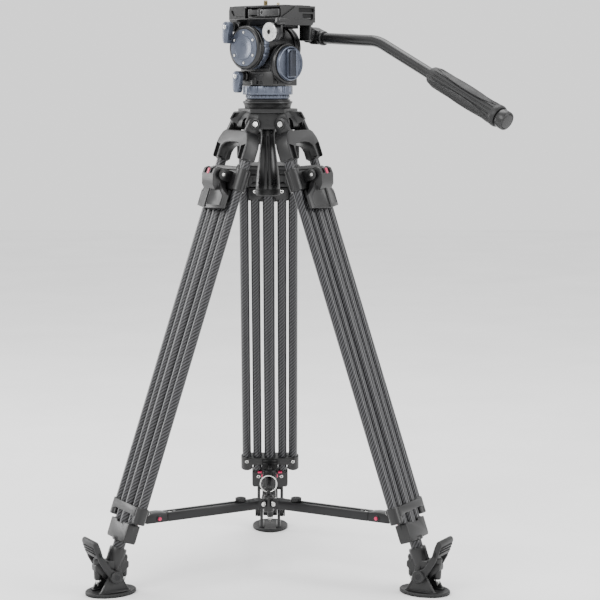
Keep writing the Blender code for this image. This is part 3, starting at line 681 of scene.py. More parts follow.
def makeSpikedFoot(size):
    apart = size["apart"]
    sleeve = turned("sleeve", ((0, 2), (10.4, 4), (11.2, 13), (12.0, 20), (12.6, 26), (12.8, 37),
        (12.2, 39.6), (9.2, 39.6), (9.2, 34), (0, 34)), "z", steps=36)
    spine = slab("spine", ((8, 8), (13.4, 14), (13.4, 36), (8, 38)), "x", -2.6, 2.6, edge=1.0)
    fork = slab("fork", ((-13, -3), (-4, -7), (4, -7), (11, 8), (9, 22), (-9, 22), (-13, 8)), "x",
        -10.5, 10.5, edge=2.0, steps=3)
    upper = tilted(together("upper", sleeve, spine), Matrix.Rotation(lean, 4, "X"))
    beam = slab("beam", ((-26.5, 17), (-26.5, 9), (-22, 5), (-9, -6.4), (9, -6.4), (22, 5),
        (26.5, 9), (26.5, 17), (18, 21), (4, 19), (-18, 21)), "x", -7.4, 7.4, edge=1.6, steps=3)
    boss = turned("boss", rod(8, -11.4, 11.4), "x", steps=28, edge=0.8)
    spikes = [turned("spike", ((0, 26.4), (5.4, 26.4), (6.4, 25.4), (6.6, 22), (5.6, -3.5),
        (4.6, -5.4), (0, -5.4)), "z", centre=(0, y), steps=24) for y in (-apart, apart)]
    rings = [turned("ring", ((6.2, 20.6), (7.0, 21), (7.0, 24), (6.2, 24.6)), "z", centre=(0, y),
        steps=24) for y in (-apart, apart)]
    onEachLeg(together("spikedFoot", upper, fork, beam, boss, *spikes, *rings), footPlace, "lower",
        "casting", "spiked_foot")
    tips = [turned("tip", ((0, -5.2), (4.3, -5.2), (4.3, -7.6), (3.2, -8.4), (2.8, -10.4),
        (0.5, -15.4), (0, -15.6)), "z", brightSteel, centre=(0, y), steps=24)
        for y in (-apart, apart)]
    onEachLeg(together("spikeTips", *tips), footPlace, "lower", "steel")


footLeverSizes = {"ribs": 3, "ribRun": (1.5, 4.2)}  # out and up from one rib to the next


def makeFootLever(size):
    arm = slab("arm", ((-6.4, 2.5), (-6.6, -2.5), (-3, -6.4), (3, -6.6), (8.5, -3.2), (18, 10),
        (26.5, 25), (30.5, 38), (26, 42), (19, 30), (8, 13), (-2.5, 7.2)), "x", 16.6, 21.4,
        mouldedRubber, edge=1.6, steps=3)
    tab = slab("tab", ((20.4, 32.5), (24, 29.4), (28.6, 29.6), (31.6, 38), (35.4, 49), (35.2, 53),
        (32.2, 55.6), (28.2, 54.4), (24.6, 46)), "x", -21.4, 21.4, mouldedRubber, edge=2.2, steps=3)
    out, up = size["ribRun"]
    ribs = [slab("rib", [(a + out * k, b + up * k) for a, b in ((30.4, 35), (32.0, 34.6),
        (32.8, 36.8), (31.2, 37.2))], "x", -17, 17, mouldedRubber, edge=0.5)
        for k in range(size["ribs"])]
    boss = turned("boss", ((0, 16.4), (8.8, 16.4), (9.6, 17.0), (9.6, 21.0), (9.0, 21.6),
        (0, 21.6)), "x", mouldedRubber, steps=28)
    onEachLeg(together("footLever", mirroredAcross(together("armSide", arm, boss)), tab, *ribs),
        footPlace, "release", "rubber", "foot_lever")


armSizes = {"grips": 48, "knob": 8.0, "half": 10.0, "tall": 6.5, "clip": 33.0, "inner": -193.0,
    "slot": (-164.0, -50.0), "knobAt": -159.0}


def makeArms(size):
    half, tall = size["half"], size["tall"]
    section = ((-half, -tall), (half, -tall), (half, tall), (-half, tall))
    clip = slab("armClip", ((-size["clip"], -tall), (1, -tall), (5.5, -4), (7, 0), (5.5, 4),
        (1, tall), (-13, tall + 1.6), (-22, tall + 1.6), (-size["clip"], tall)), "x", -half, half,
        blackAnodised, edge=1.1)
    fork = block("fork", (-4.3, 4.3), (-9, 12), (-12, 12), blackAnodised)
    clip = carved(clip, fork)
    tongue = block("tongue", (-6.4, 6.4), (-167, -size["clip"] + 2), (-3.3, 3.3), blackAnodised,
        edge=0.5)
    sideBoss = turned("sideBoss", ((0, half - 1), (4.6, half - 1), (4.6, half + 0.9),
        (3.9, half + 1.4), (3.0, half + 1.4), (3.0, half + 0.6), (0, half + 0.6)), "x",
        blackAnodised, centre=(-19, -0.5), steps=24)
    onEachLeg(together("armClip", clip, tongue, mirroredAcross(sideBoss)), armPlace, "clip",
        "black_metal", "arm_clip")
    button = turned("clipButton", ((0, half), (2.8, half), (2.8, half + 2.2), (2.2, half + 3.0),
        (0, half + 3.2)), "x", redAcetal, centre=(-19, -0.5), steps=24)
    onEachLeg(mirroredAcross(button), armPlace, "clip", "casting")
    channel = slab("armChannel", section, "y", size["inner"], -size["clip"] - 0.3, blackAnodised,
        edge=0.9)
    bore = block("bore", (-6.8, 6.8), (size["inner"] + 18, -20), (-3.7, 3.7), blackAnodised,
        edge=0.4)
    slot = block("slot", (-2.4, 2.4), size["slot"], (0, 12), blackAnodised, edge=1.8, steps=3)
    catch = block("catch", (-5.4, 5.4), (-45.5, -37.5), (0, 12), blackAnodised)
    channel = carved(channel, bore, slot, catch)
    rails = [block("rail", (x, x + 1.5), (size["slot"][0] - 2, size["slot"][1] + 3),
        (tall - 0.4, tall + 0.35), blackAnodised, edge=0.3) for x in (-4.6, 3.1)]
    nose = slab("nose", ((size["inner"] - 4, -tall), (size["inner"] + 9, -tall - 0.6),
        (size["inner"] + 9, tall + 0.6), (size["inner"] - 4, tall)), "x", -half - 0.3, half + 0.3,
        blackAnodised, edge=1.0)
    onEachLeg(together("armChannel", channel, nose, *rails), armPlace, "channel", "black_metal",
        "arm_channel")
    spring = block("catchPlate", (-4.6, 4.6), (-44.6, -38.2), (3.4, 5.6), brightSteel, edge=0.6)
    onEachLeg(spring, armPlace, "channel", "steel")
    cheekBolt = boltHead("noseBolt", half + 0.2, size["inner"] + 0.6, 0.8, "x", 3.6, 1.7, 1,
        brightSteel)
    onEachLeg(mirroredAcross(cheekBolt), armPlace, "channel", "steel")
    grips = []
    for step in range(size["grips"]):
        r, turn = size["knob"] - (0.7 if step % 4 == 0 else 0.0), 2 * pi * step / size["grips"]
        grips.append((r * cos(turn), size["knobAt"] + r * sin(turn)))
    knob = slab("armKnob", grips, "z", tall + 0.6, tall + 6.0, mouldedRubber, edge=0.5)
    top = turned("knobTop", ((0, tall + 5.6), (6.6, tall + 5.6), (6.2, tall + 6.5),
        (4.0, tall + 6.7), (3.6, tall + 6.2), (0, tall + 6.2)), "z", mouldedRubber,
        centre=(0, size["knobAt"]), steps=28)
    stem = turned("knobStem", rod(2.0, 3.5, tall + 1), "z", brightSteel, centre=(0, size["knobAt"]),
        steps=20)
    onEachLeg(together("armKnob", knob, top, stem), armPlace, "knob", "casting", "arm_knob")


hubSizes = {"ring": 12.4, "wire": 0.85, "ringUp": 28}


def makeHub(size):
    place = axisPlace @ Matrix.Translation((0, 0, jointAt["leg_a_clip_turn"].z))
    hub = turned("spreaderHub", ((0, -14), (6.6, -14), (7.8, -13), (8.4, -9), (9.4, -6), (9.4, 6),
        (8.6, 8.0), (7, 9.2), (2.3, 9.2), (2.3, -4), (0, -4)), "z", steps=36)
    lip = turned("lip", ((4.6, 8.8), (6.6, 8.8), (6.6, 11.0), (6.0, 11.6), (3.0, 11.6), (3.0, 9.0)),
        "z", steps=24, closed=True)
    settle(together("spreaderHub", hub, lip), place, "leg_a_channel", ["spreader_hub"])
    bpy.ops.object.select_all(action="DESELECT")
    bpy.ops.mesh.primitive_torus_add(major_radius=size["ring"] * mm, minor_radius=size["wire"] * mm,
        major_segments=64, minor_segments=12, location=(0, 0, size["ringUp"] * mm),
        rotation=(pi / 2, 0, 0))
    ring = bpy.context.active_object
    bpy.ops.object.transform_apply(location=True, rotation=True, scale=True)
    wear(ring, brightSteel)
    stem = turned("ringStem", ((0, -3), (2.0, -3), (2.0, 13), (2.8, 13.6), (2.8, 17.0), (1.6, 18.4),
        (0, 18.4)), "z", blackAnodised, steps=24)
    settle(together("pullRing", ring, stem), place, "pull_ring", ["pull_ring"])


makeYoke(yokeSizes)
makeTubes(tubeSizes)
makeCollar(collarSizes)
makeLowBlock(lowBlockSizes)
print("legs: yokes, tubes, collars made")
makeHousing(housingSizes)
makeLockLever(leverSizes)
print("legs: locks made")
makePad(footSizes)
makeSpikedFoot(spikeSizes)
makeFootLever(footLeverSizes)
print("feet made")
makeArms(armSizes)
makeHub(hubSizes)
print("spreader made")


crownSizes = {"rim": 36.4, "lug": 22.3, "facet": 33.5, "dimples": (684.5, 677.5, 670.5)}


def makeCrown(size):
    rim = turned("crownCasting", ((15.5, 668.2), (30, 668.2), (30.6, 684), (32.4, 689.5),
        (33.6, 694), (34.2, 697.5), (35.4, 701), (size["rim"], 702), (size["rim"], 704.2),
        (35.6, 704.8), (33.7, 704.8), (32.6, 697.7), (29.4, 690), (23.1, 682.2), (15.5, 680)), "z",
        steps=72, closed=True)
    outline = bothSides(((25, -42), (44, 3), (28, 42)))
    deck = slab("deck", outline, "z", 687.6, 694.0, edge=1.4, steps=3)
    bore = turned("bore", rod(31, 680, 700), "z", steps=48)
    deck = carved(deck, bore)
    gussets = []
    for side in (-1, 1):  # shoulder corners with a dark triangular pocket in each
        gusset = slab("gusset", [(side * a, b) for a, b in ((24, 690), (43.6, 690), (50, 679),
            (40, 672), (27, 672))], "y", -31.5, -14, edge=1.4)
        pocket = slab("pocket", [(side * a, b) for a, b in ((34.5, 689), (42, 687.4), (46.4, 679.4),
            (37.5, 683))], "y", -40, -24, edge=0)
        gussets.append(tilted(carved(gusset, pocket), Matrix.Rotation(radians(side * 14), 4, "Z")))
    facet = slab("facet", ((-21, 664), (21, 664), (24, 689), (-24, 689)), "y", -size["facet"], -22,
        edge=2.4, steps=3)
    for spot in size["dimples"]:  # small, down each facet
        facet = carved(facet, turned("dimple", rod(1.9, -40, -32.6), "y", centre=(0, spot),
            steps=16))
    lug = slab("lug", ((20, 664), (42, 663), (47, 667), (48.5, 676), (44, 684), (41, 689.5),
        (20, 691)), "x", -size["lug"], size["lug"], edge=2.2, steps=3)
    saddle = turned("saddle", ((0, 18), (11.5, 18), (13.5, 60), (0, 60)), "y", centre=(0, 697),
        steps=36)
    pocket = slab("pocket", ((5, 667), (18.6, 667), (18.6, 681), (13.5, 681)), "y", 43.0, 60.0)
    lug = carved(lug, saddle, mirroredAcross(pocket))
    parts = [rim, deck] + gussets
    for key in "abc":
        for piece in (lug, facet):
            parts.append(tilted(copied(piece), Matrix.Rotation(radians(legFacing[key] - 90), 4,
                "Z")))
    bpy.data.objects.remove(lug)
    bpy.data.objects.remove(facet)
    crown = together("crownCasting", *parts)
    settle(crown, axisPlace, "crown", ["crown"])


# an outline drawn out along z, resized at each level
def lofted(name, outline, levels, material, turnAngle=32):
    piece = drawnLine(name, [Vector((a * levels[0][1], b * levels[0][1], levels[0][0])) * mm for a,
        b in outline], True)
    for (here, wide), (there, nextWide) in zip(levels, levels[1:]):
        drawOut((0, 0, (there - here) * mm))
        bpy.ops.transform.resize(value=(nextWide / wide, nextWide / wide, 1),
            center_override=(0, 0, there * mm))
    tidyMesh()
    return wear(piece, material, turnAngle)


bowlSizes = {"ball": 33.3, "centre": 707.0, "lobes": 4}


def makeBowl(size):
    r, centre = size["ball"], size["centre"]
    profile = [(0, centre)] + [(r * cos(radians(a)), centre - r * sin(radians(a)))
        for a in range(0, 42, 6)]
    ball = turned("levellingBall", profile + [(24, 684), (4, 684), (4, 662), (0, 662)], "z",
        blackAnodised, steps=64)
    settle(ball, axisPlace, "level", ["levelling_ball"])
    outline = []
    for step in range(96):  # broad lobes with a crease between them
        near = abs((step * size["lobes"] / 96) % 1 - 0.5) * 2
        wide, turn = 1 - 0.07 * near ** 8, 2 * pi * step / 96
        outline.append((wide * cos(turn), wide * sin(turn)))
    levels = [(575.4, 17.6), (577, 18.3), (584, 18.0), (598, 16.8), (614, 14.8), (630, 12.6),
        (645, 11.0), (655, 10.2)]
    body = lofted("bowlHandle", outline, levels, satinLacquer)
    foot = turned("handleFoot", ((0, 566.2), (16.6, 566.2), (18.2, 567.2), (18.6, 568.6),
        (18.6, 574.6), (18.0, 575.6), (0, 575.6)), "z", mouldedRubber, steps=48)
    neck = turned("handleNeck", ((4.3, 654), (9.8, 654), (10.5, 656.5), (10.8, 659), (10.6, 663),
        (9.8, 665.2), (4.3, 665.2)), "z", steps=48, closed=True)
    settle(together("bowlHandle", body, foot, neck), axisPlace, "bowl_handle",
        ["bowl_clamp_handle"])


panSizes = {"ring": 36.7, "groove": 1.9, "pads": 16, "low": 714.1, "high": 726.5}


def scalloped(size, radius, groove):
    outline = []
    for step in range(size["pads"] * 10):
        part = (step % 10) / 10
        dip = max(0.0, sin(pi * (part - 0.62) / 0.36)) if part > 0.62 else 0.0
        turn = 2 * pi * step / (size["pads"] * 10)
        outline.append(((radius - groove * dip) * cos(turn), (radius - groove * dip) * sin(turn)))
    return outline


def makePan(size):
    flange = turned("panFlange", ((0, 707.5), (29.6, 707.5), (31.4, 708.2), (32.2, 709.4),
        (32.2, 712.8), (31.6, 713.5), (22, 713.5), (22, 718.6), (0, 718.6)), "z", blueAnodised,
        steps=72)
    seat = turned("flangeSeat", ((27, 705.2), (32.6, 705.2), (33.0, 706), (33.0, 707.2),
        (27, 707.6)), "z", steps=64, closed=True)
    settle(flange, headPlace, "level", ["pan_flange"])
    settle(seat, headPlace, "level")
    mark = block("mark", (32.0, 32.5), (-0.28, 0.28), (710.2, 712.8), shadeAndMarkPaint, edge=0)
    marks = []
    for step in range(36):
        marks.append(tilted(copied(mark), Matrix.Rotation(radians(step * 10), 4, "Z")))
    bpy.data.objects.remove(mark)
    settle(together("flangeMarks", *marks), headPlace, "level")
    ring = slab("panRing", scalloped(size, size["ring"], size["groove"]), "z", size["low"],
        size["high"], blueAnodised)
    hollow = turned("hollow", rod(26.2, 700, 740), "z", blueAnodised, steps=48)
    lip = turned("lip", ((27, 713.8), (33.6, 713.8), (35.6, 714.6), (36.2, 716.2), (36.2, 717.6),
        (27, 717.6)), "z", blueAnodised, steps=72, closed=True)
    settle(together("panRing", carved(ring, hollow), lip), headPlace, "pan_ring",
        ["pan_drag_ring"])


bodySizes = {"tilt": 782.0, "balance": 759.4, "drum": 29.3}


def makeHeadBody(size):
    base = slab("headBody", ((-31, 24), (-24, 31), (24, 31), (31, 24), (31, -24), (25, -36),
        (-25, -36), (-31, -24)), "z", 727.0, 748.3, edge=1.4, steps=3)
    grooves = [block("groove", (-40, -29.6), (-22, 4), (742.5, 744.3), edge=0.2), block("groove",
        (-40, -28.5), (-21, -9), (729.5, 734.5), edge=0.4), block("groove", (-40, -29.2), (-6.5, 4),
        (730.0, 738.0), edge=0.4), block("groove", (-24, -14), (-40, -34.4), (730.0, 744.0),
        edge=0.4)]
    base = carved(base, *grooves)
    pad = slab("pad", ((-7.5, 727.6), (3.5, 727.6), (3.5, 739.5), (-7.5, 739.5)), "x", -31.8, -28,
        edge=1.0)
    tier = block("tier", (-27.5, 27.5), (-32.5, 29), (746, 753.5), edge=1.6, steps=3)
    waist = slab("waist", ((-26, 750), (26, 750), (22.5, 770), (-22.5, 770)), "y", -31, 28,
        edge=2.0, steps=3)
    neck = turned("neck", rod(25.2, 719.4, 729), "z", steps=48)
    drum = turned("drum", ((0, -25.8), (28.2, -25.8), (size["drum"], -24.6), (size["drum"], 24.6),
        (28.2, 25.8), (0, 25.8)), "x", centre=(0, size["tilt"]), steps=64)
    bands = turned("bands", ((27, -14), (30.0, -13), (30.0, -8), (29.0, -7), (29.0, 7), (30.0, 8),
        (30.0, 13), (27, 14)), "x", centre=(0, size["tilt"]), steps=64)
    spring = turned("balanceHousing", ((0, -18), (24.8, -18), (24.8, -30), (26.5, -32), (28.6, -33),
        (29, -33.6), (29, -36), (28.0, -36.5), (28.0, -37.5), (29, -38), (29, -40.8), (28.0, -42.4),
        (26.4, -42.9), (0, -42.9)), "y", centre=(0, size["balance"]), steps=72)
    panBoss = turned("panBoss", ((0, -41.8), (5.6, -41.8), (6.4, -41.0), (6.4, -36), (7.6, -35),
        (7.6, -29), (0, -29)), "x", centre=(14, 741), steps=28)
    settle(together("headBody", base, pad, tier, waist, neck, drum, bands, spring, panBoss),
        headPlace, "pan", ["head_body"])
    sideScrew = boltHead("sideScrew", -25.9, -20, 765.5, "x", 1.7, 0.9, -1, brightSteel)
    lowScrew = boltHead("sideScrewB", -29.2, -12, 735.5, "x", 1.4, 0.7, -1, brightSteel)
    settle(together("bodyScrews", sideScrew, lowScrew), headPlace, "pan")


def makeBalanceKnob(size):
    z = size["balance"]
    knob = turned("balanceKnob", ((0, -43.2), (24.4, -43.2), (25, -43.8), (25, -47.2),
        (24.2, -48.6), (23.0, -49.0), (21.8, -48.2), (20.8, -46.8), (0, -46.6)), "y", blueAnodised,
        centre=(0, z), steps=72)
    sides = slab("sides", ((-8.6, z - 20.3), (8.4, z - 20.3), (8.4, z + 20.3), (-8.6, z + 20.3)),
        "y", -51.2, -46, blueAnodised, edge=1.0)
    rail = slab("rail", ((4.4, z - 18.4), (7.8, z - 18.4), (7.8, z + 18.4), (4.4, z + 18.4)), "y",
        -54.9, -46, blueAnodised)
    settle(together("balanceKnob", knob, sides, rail), headPlace, "balance",
        ["balance_knob"])
    # painted shade on the face between the grips, in the darker copy of the anodising
    face = slab("knobFace", ((-7.8, z - 18.6), (4.6, z - 18.6), (4.6, z + 15.5), (1.5, z + 18.8),
        (-4.8, z + 18.8), (-7.8, z + 15.5)), "y", -54.6, -46, blueShade, edge=1.2, steps=3)
    settle(face, headPlace, "balance")
    # a dark ring in the gap between the knob and the body: painted shade
    gap = turned("knobGapShade", ((24.6, -42.8), (26.6, -42.8), (26.6, -43.4), (24.6, -43.4)), "y",
        shadeAndMarkPaint, centre=(0, z), steps=64, closed=True)
    settle(gap, headPlace, "pan")


cheekSizes = {"radius": 31.6, "cap": 26.8, "dial": 17.0, "screws": 22.0}


def makeCheeks(size):
    z, r = bodySizes["tilt"], size["radius"]
    left = turned("leftCheek", ((0, -37.2), (r - 0.6, -37.2), (r, -37.9), (r, -41.6),
        (r - 0.9, -42.1), (r - 0.9, -43.0), (r, -43.5), (r, -46.2), (r - 0.9, -47.6),
        (r - 2.6, -48.8), (28.2, -49.0), (27.0, -48.2), (27.0, -46.2), (0, -46.2)), "x",
        centre=(0, z), steps=80)
    settle(left, headPlace, "tilt", ["tilt_cheek_left"])
    cap = turned("cheekCap", ((0, -46.0), (size["cap"], -46.0), (size["cap"], -48.5),
        (size["cap"] - 0.6, -49.0), (size["dial"] + 1.2, -49.0), (size["dial"] + 0.7, -48.6),
        (size["dial"] + 0.3, -48.6), (size["dial"], -49.1), (size["dial"] - 0.7, -49.1),
        (12, -48.1), (8, -47.2), (4, -46.8), (0, -46.7)), "x", blueAnodised, centre=(0, z),
        steps=72)
    settle(cap, headPlace, "tilt")
    screws, wells = [], []
    for step in range(6):
        turn = radians(60 * step + 30)
        y, up = size["screws"] * cos(turn), z + size["screws"] * sin(turn)
        screws.append(boltHead("capScrew", -48.9, y, up, "x", 1.9, 0.9, -1, brightSteel))
        # a dark disc round each cap screw: painted shade in its well
        wells.append(turned("capWellShade", rod(2.5, -48.9, -49.15), "x", shadeAndMarkPaint, centre=(y, up),
            steps=20))
    settle(together("capScrews", *screws), headPlace, "tilt")
    settle(together("capWellShades", *wells), headPlace, "tilt")
    right = turned("rightCheek", ((0, 26.3), (r - 0.6, 26.3), (r, 27), (r, 31), (r - 0.9, 31.5),
        (r - 0.9, 32.4), (r, 33), (r, 36.6), (29.4, 39.4), (27.5, 40), (0, 40)), "x", centre=(0, z),
        steps=80)
    settle(right, headPlace, "tilt", ["tilt_cheek_right"])
    rosette = turned("rightDisc", ((0, 39.9), (24, 39.9), (24, 40.4), (23.4, 40.7), (0, 40.7)), "x",
        blueAnodised, centre=(0, z), steps=64)
    settle(rosette, headPlace, "tilt")
    ring = slab("tiltRing", [(a, z + b) for a, b in scalloped(panSizes, r - 0.1, 1.5)], "x", -36.4,
        -26.4, blueAnodised)
    settle(ring, headPlace, "tilt_ring", ["tilt_drag_ring"])
    dark = turned("ringShade", ((20, -36.9), (30, -36.9), (30, -36.3), (20, -36.3)), "x",
        shadeAndMarkPaint, centre=(0, z), steps=64, closed=True)
    settle(dark, headPlace, "tilt_ring")


lockSizes = {"blade": ((-7.4, 0.5), (-6.0, 5.0), (-2.6, 7.6), (2.6, 7.6), (6.0, 5.0), (7.4, 0.5),
    (6.4, -8), (5.6, -19), (3.8, -23.8), (-3.8, -23.8), (-5.6, -19), (-6.4, -8))}


def makeLock(name, size, pivot, near, far, body, node):
    y, z = pivot
    blade = slab(name, [(y + a, z + b) for a, b in size["blade"]], "x", far, near, blueAnodised,
        edge=1.5, steps=3)
    step = slab("step", [(y + a * 1.02, z + b) for a, b in ((-6.2, -8.6), (6.2, -8.6), (5.4, -19),
        (3.6, -23.2), (-3.6, -23.2), (-5.4, -19))], "x", far - 0.7, far + 2, blueAnodised, edge=0.7)
    ribs = []
    # the grip ribs take the darker copy of the anodising: painted shade
    for k in range(4):
        low = z - 10.8 - 2.2 * k
        ribs.append(block("rib", (far + 1.4, near - 2.6), (y - 6.5, y + 6.5), (low - 1.2, low),
            blueShade, edge=0.4))
    hub = turned("lockHub", ((0, far + 2), (5.2, far + 2), (5.2, far - 0.9), (4.4, far - 1.4),
        (0, far - 1.4)), "x", blueAnodised, centre=(y, z), steps=28)
    settle(together(name, blade, step, hub), headPlace, body, [node])
    settle(together(name + "Ribs", *ribs), headPlace, body)
    settle(boltHead(name + "Screw", far - 1.3, y, z, "x", 3.3, 1.0, -1, brightSteel), headPlace,
        body)


platformSizes = {"bottom": 814.0, "waist": 823.0, "top": 838.0, "half": 34.0, "ends": (-64.0, 46.0)}


def makePlatform(size):
    half, ends = size["half"], size["ends"]
    bottom, waist, top = size["bottom"], size["waist"], size["top"]
    body = slab("platformBody", ((-28, bottom), (28, bottom), (half, waist), (half, top), (28, top),
        (27, 824), (-27, 824), (-28, top), (-half, top), (-half, waist)), "y", ends[0], ends[1],
        edge=0)
    wall = block("endWall", (-half, half), (ends[0], -60.4), (818, 841.6), edge=0)
    jaw = block("jaw", (-half, -29.6), (12, ends[1]), (836, 841.8), edge=0)
    body = changed(changed(body, wall, "UNION"), jaw, "UNION")
    cutters = [
        block("lockPocket", (-40, -27.5), (-60.2, 12), (824.4, 845), edge=0.3),
        slab("jawHole", ((33.5, 828.5), (36.5, 828.5), (40.5, 833), (41, 836), (38.5, 836.4),
            (34.6, 832.4)), "x", -40, -31.4, edge=0.6),
        slab("jawCorner", ((11, 838), (16, 843), (11, 843)), "x", -40, -20, edge=0),
        slab("jawEnd", ((47, 832), (44, 843), (47, 843)), "x", -40, -20, edge=0),
        slab("endRecess", ((0, 833), (31, 833), (31, 838.6), (0, 838.6)), "y", -70, -60.5,
            edge=0.5),
        slab("endRib", ((8, 825), (25, 821.4), (29.5, 822.5), (29.5, 830.4), (8, 830.4)), "y", -70,
            -60.5, edge=0.5),
        slab("endSlope", ((-36, 824), (-2, 842.4), (-36, 842.4)), "y", -70, -61.6, edge=0),
        block("slot", (-40, -33), (14, 30), (826.4, 827.4), edge=0),
    ]
    body = carved(body, *cutters)
    choose(body)
    bpy.ops.object.mode_set(mode="EDIT")
    tidyMesh()
    soften(body, 0.7, 2, 30)
    wear(body, castingPaint)
    shades = together("recessShade", block("shade", (0.3, 30.7), (-61.4, -60.6), (833.2, 838.4),
        shadeAndMarkPaint, edge=0), block("ribShade", (8.4, 29.2), (-61.4, -60.6), (825, 830.2),
        shadeAndMarkPaint, edge=0))
    settle(shades, headPlace, "tilt")
    seam = block("seam", (-half - 0.25, half + 0.25), (ends[0] - 0.25, ends[1] + 0.25),
        (822.7, 823.4), edge=0.2)
    bossLug = block("bossLug", (-36, -30.5), (-63.5, -42.5), (797, 818), edge=2.0, steps=3)
    handleLug = block("handleLug", (30.5, 35.4), (-56, -34), (792, 818), edge=2.0, steps=3)
    stem = turned("lockStem", ((0, -48.8), (6.6, -48.8), (7.4, -47.8), (7.4, -42), (6.4, -41),
        (6.4, -39.5), (7.6, -38.8), (7.6, -36), (0, -36)), "x", centre=(27, 812))
    bridge = block("bridge", (-37.5, -25), (20.5, 33.5), (806, 820), edge=2.2, steps=3)
    spring = turned("smallKnob", ((0, -33), (4.6, -33), (4.6, -41), (5.6, -41.6), (5.6, -44.6),
        (4.8, -45.2), (0, -45.2)), "x", centre=(-66, 819), steps=24)
    arch = slab("arch", ((-24, 815), (24, 815), (24, 809), (14, 812), (-14, 812), (-24, 809)), "y",
        -40, 34, edge=1.4)
    settle(together("platformBody", body, bossLug, handleLug, stem, bridge, spring, arch, seam),
        headPlace, "tilt", ["platform"])
    face = turned("bossFace", ((3.0, -50), (12.6, -50), (13.4, -49.4), (13.4, -47.2), (3.0, -47.2)),
        "x", brightSteel, centre=(-53, 804), steps=48, closed=True)
    socket = turned("socket", rod(3.9, -60, -40), "x", brightSteel, centre=(-53, 804), steps=6)
    settle(carved(face, socket), headPlace, "tilt", ["accessory_boss"])
    barrel = turned("bossBarrel", ((0, -46.8), (13.3, -46.8), (13.6, -46.2), (13.6, -41.4),
        (12.9, -40.8), (12.9, -39.8), (13.6, -39.2), (13.6, -36.2), (0, -36.2)), "x", blackAnodised,
        centre=(-53, 804), steps=48)
    settle(barrel, headPlace, "tilt")


plateSizes = {"half": 25.3, "lip": 29, "low": 824.6, "high": 842.6, "ends": (-60, 42), "threads": 9,
    "pitch": 0.75}


def makePlate(size):
    half, lip, low, high = size["half"], size["lip"], size["low"], size["high"]
    plate = slab("cameraPlate", ((-half, low), (half, low), (half, 838.4), (lip, 839.4),
        (lip, 841.6), (27.6, high), (-27.6, high), (-lip, 841.6), (-lip, 839.4), (-half, 838.4)),
        "y", *size["ends"], blackAnodised, 0.6)
    notch = block("notch", (-3.6, 3.6), (-34, 26), (841.2, 850), blackAnodised, edge=0.4)
    plate = carved(plate, notch)
    pads = [block("pad", (x, x + 13), (-54, 36), (842.3, 843.1), mouldedRubber, edge=0.3)
        for x in (-20, 7)]
    settle(plate, headPlace, "plate", ["camera_plate"])
    settle(together("platePads", *pads), headPlace, "plate")
    pin = turned("twistPin", ((0, 841), (4.2, 841), (4.2, 843.2), (2.1, 843.4), (2.1, 846.4),
        (1.6, 847), (0, 847)), "z", paleBrass, centre=(0, -22), steps=24)
    settle(pin, headPlace, "plate")
    thread = [(0, 837.8), (5.4, 837.8), (5.4, 843.4), (3.1, 843.6)]
    for k in range(size["threads"]):
        thread += [(3.1, 843.7 + size["pitch"] * k), (2.6, 844.1 + size["pitch"] * k)]
    screw = turned("cameraScrew", thread + [(2.8, 850.3), (2.3, 851), (0, 851)], "z", paleBrass,
        centre=(0, 4), steps=24)
    settle(screw, headPlace, "screw", ["camera_screw"])
    bar = slab("plateLever", ((-29.6, 6.2), (-28.6, 2), (-28.4, -16), (-30.5, -17.5),
        (-34.6, -17.5), (-34.6, 4.5), (-32.6, 6.8)), "z", 828.6, 836.2, edge=0.7)
    pivots = [turned("pivot", ((0, 827), (r, 827), (r, 836.9), (r - 0.6, 837.4), (0, 837.4)), "z",
        centre=(x, y), steps=24) for x, y, r in ((-31.6, 3.4, 3.3), (-31.6, -16.5, 3.5))]
    lowBar = block("lowBar", (-34.0, -28.6), (-30, 5), (825.2, 826.4), edge=0.4)
    blade = slab("blade", ((-28.2, -20), (-28.2, -32), (-31.5, -60), (-37.6, -60), (-35.8, -30),
        (-34.8, -20)), "z", 826.2, 836.6)
    fingerHole = slab("fingerHole", ((-25, 829.5), (-22.5, 829.5), (-22.5, 835), (-25, 835)), "x",
        -50, -33.4, edge=1.0)
    blade = carved(blade, fingerHole)
    settle(together("plateLever", bar, lowBar, blade, *pivots), headPlace, "plate_lever",
        ["plate_lock_lever"])


handleSizes = {"pivot": (-44.0, 801.5), "offset": 52.0, "bar": 8.0, "bend": 62.0,
    "start": (-60.7, 796.1), "corner": (-170.8, 790.8), "end": (-406.0, 681.0), "gripFrom": 0.43,
    "gripSteps": 144}


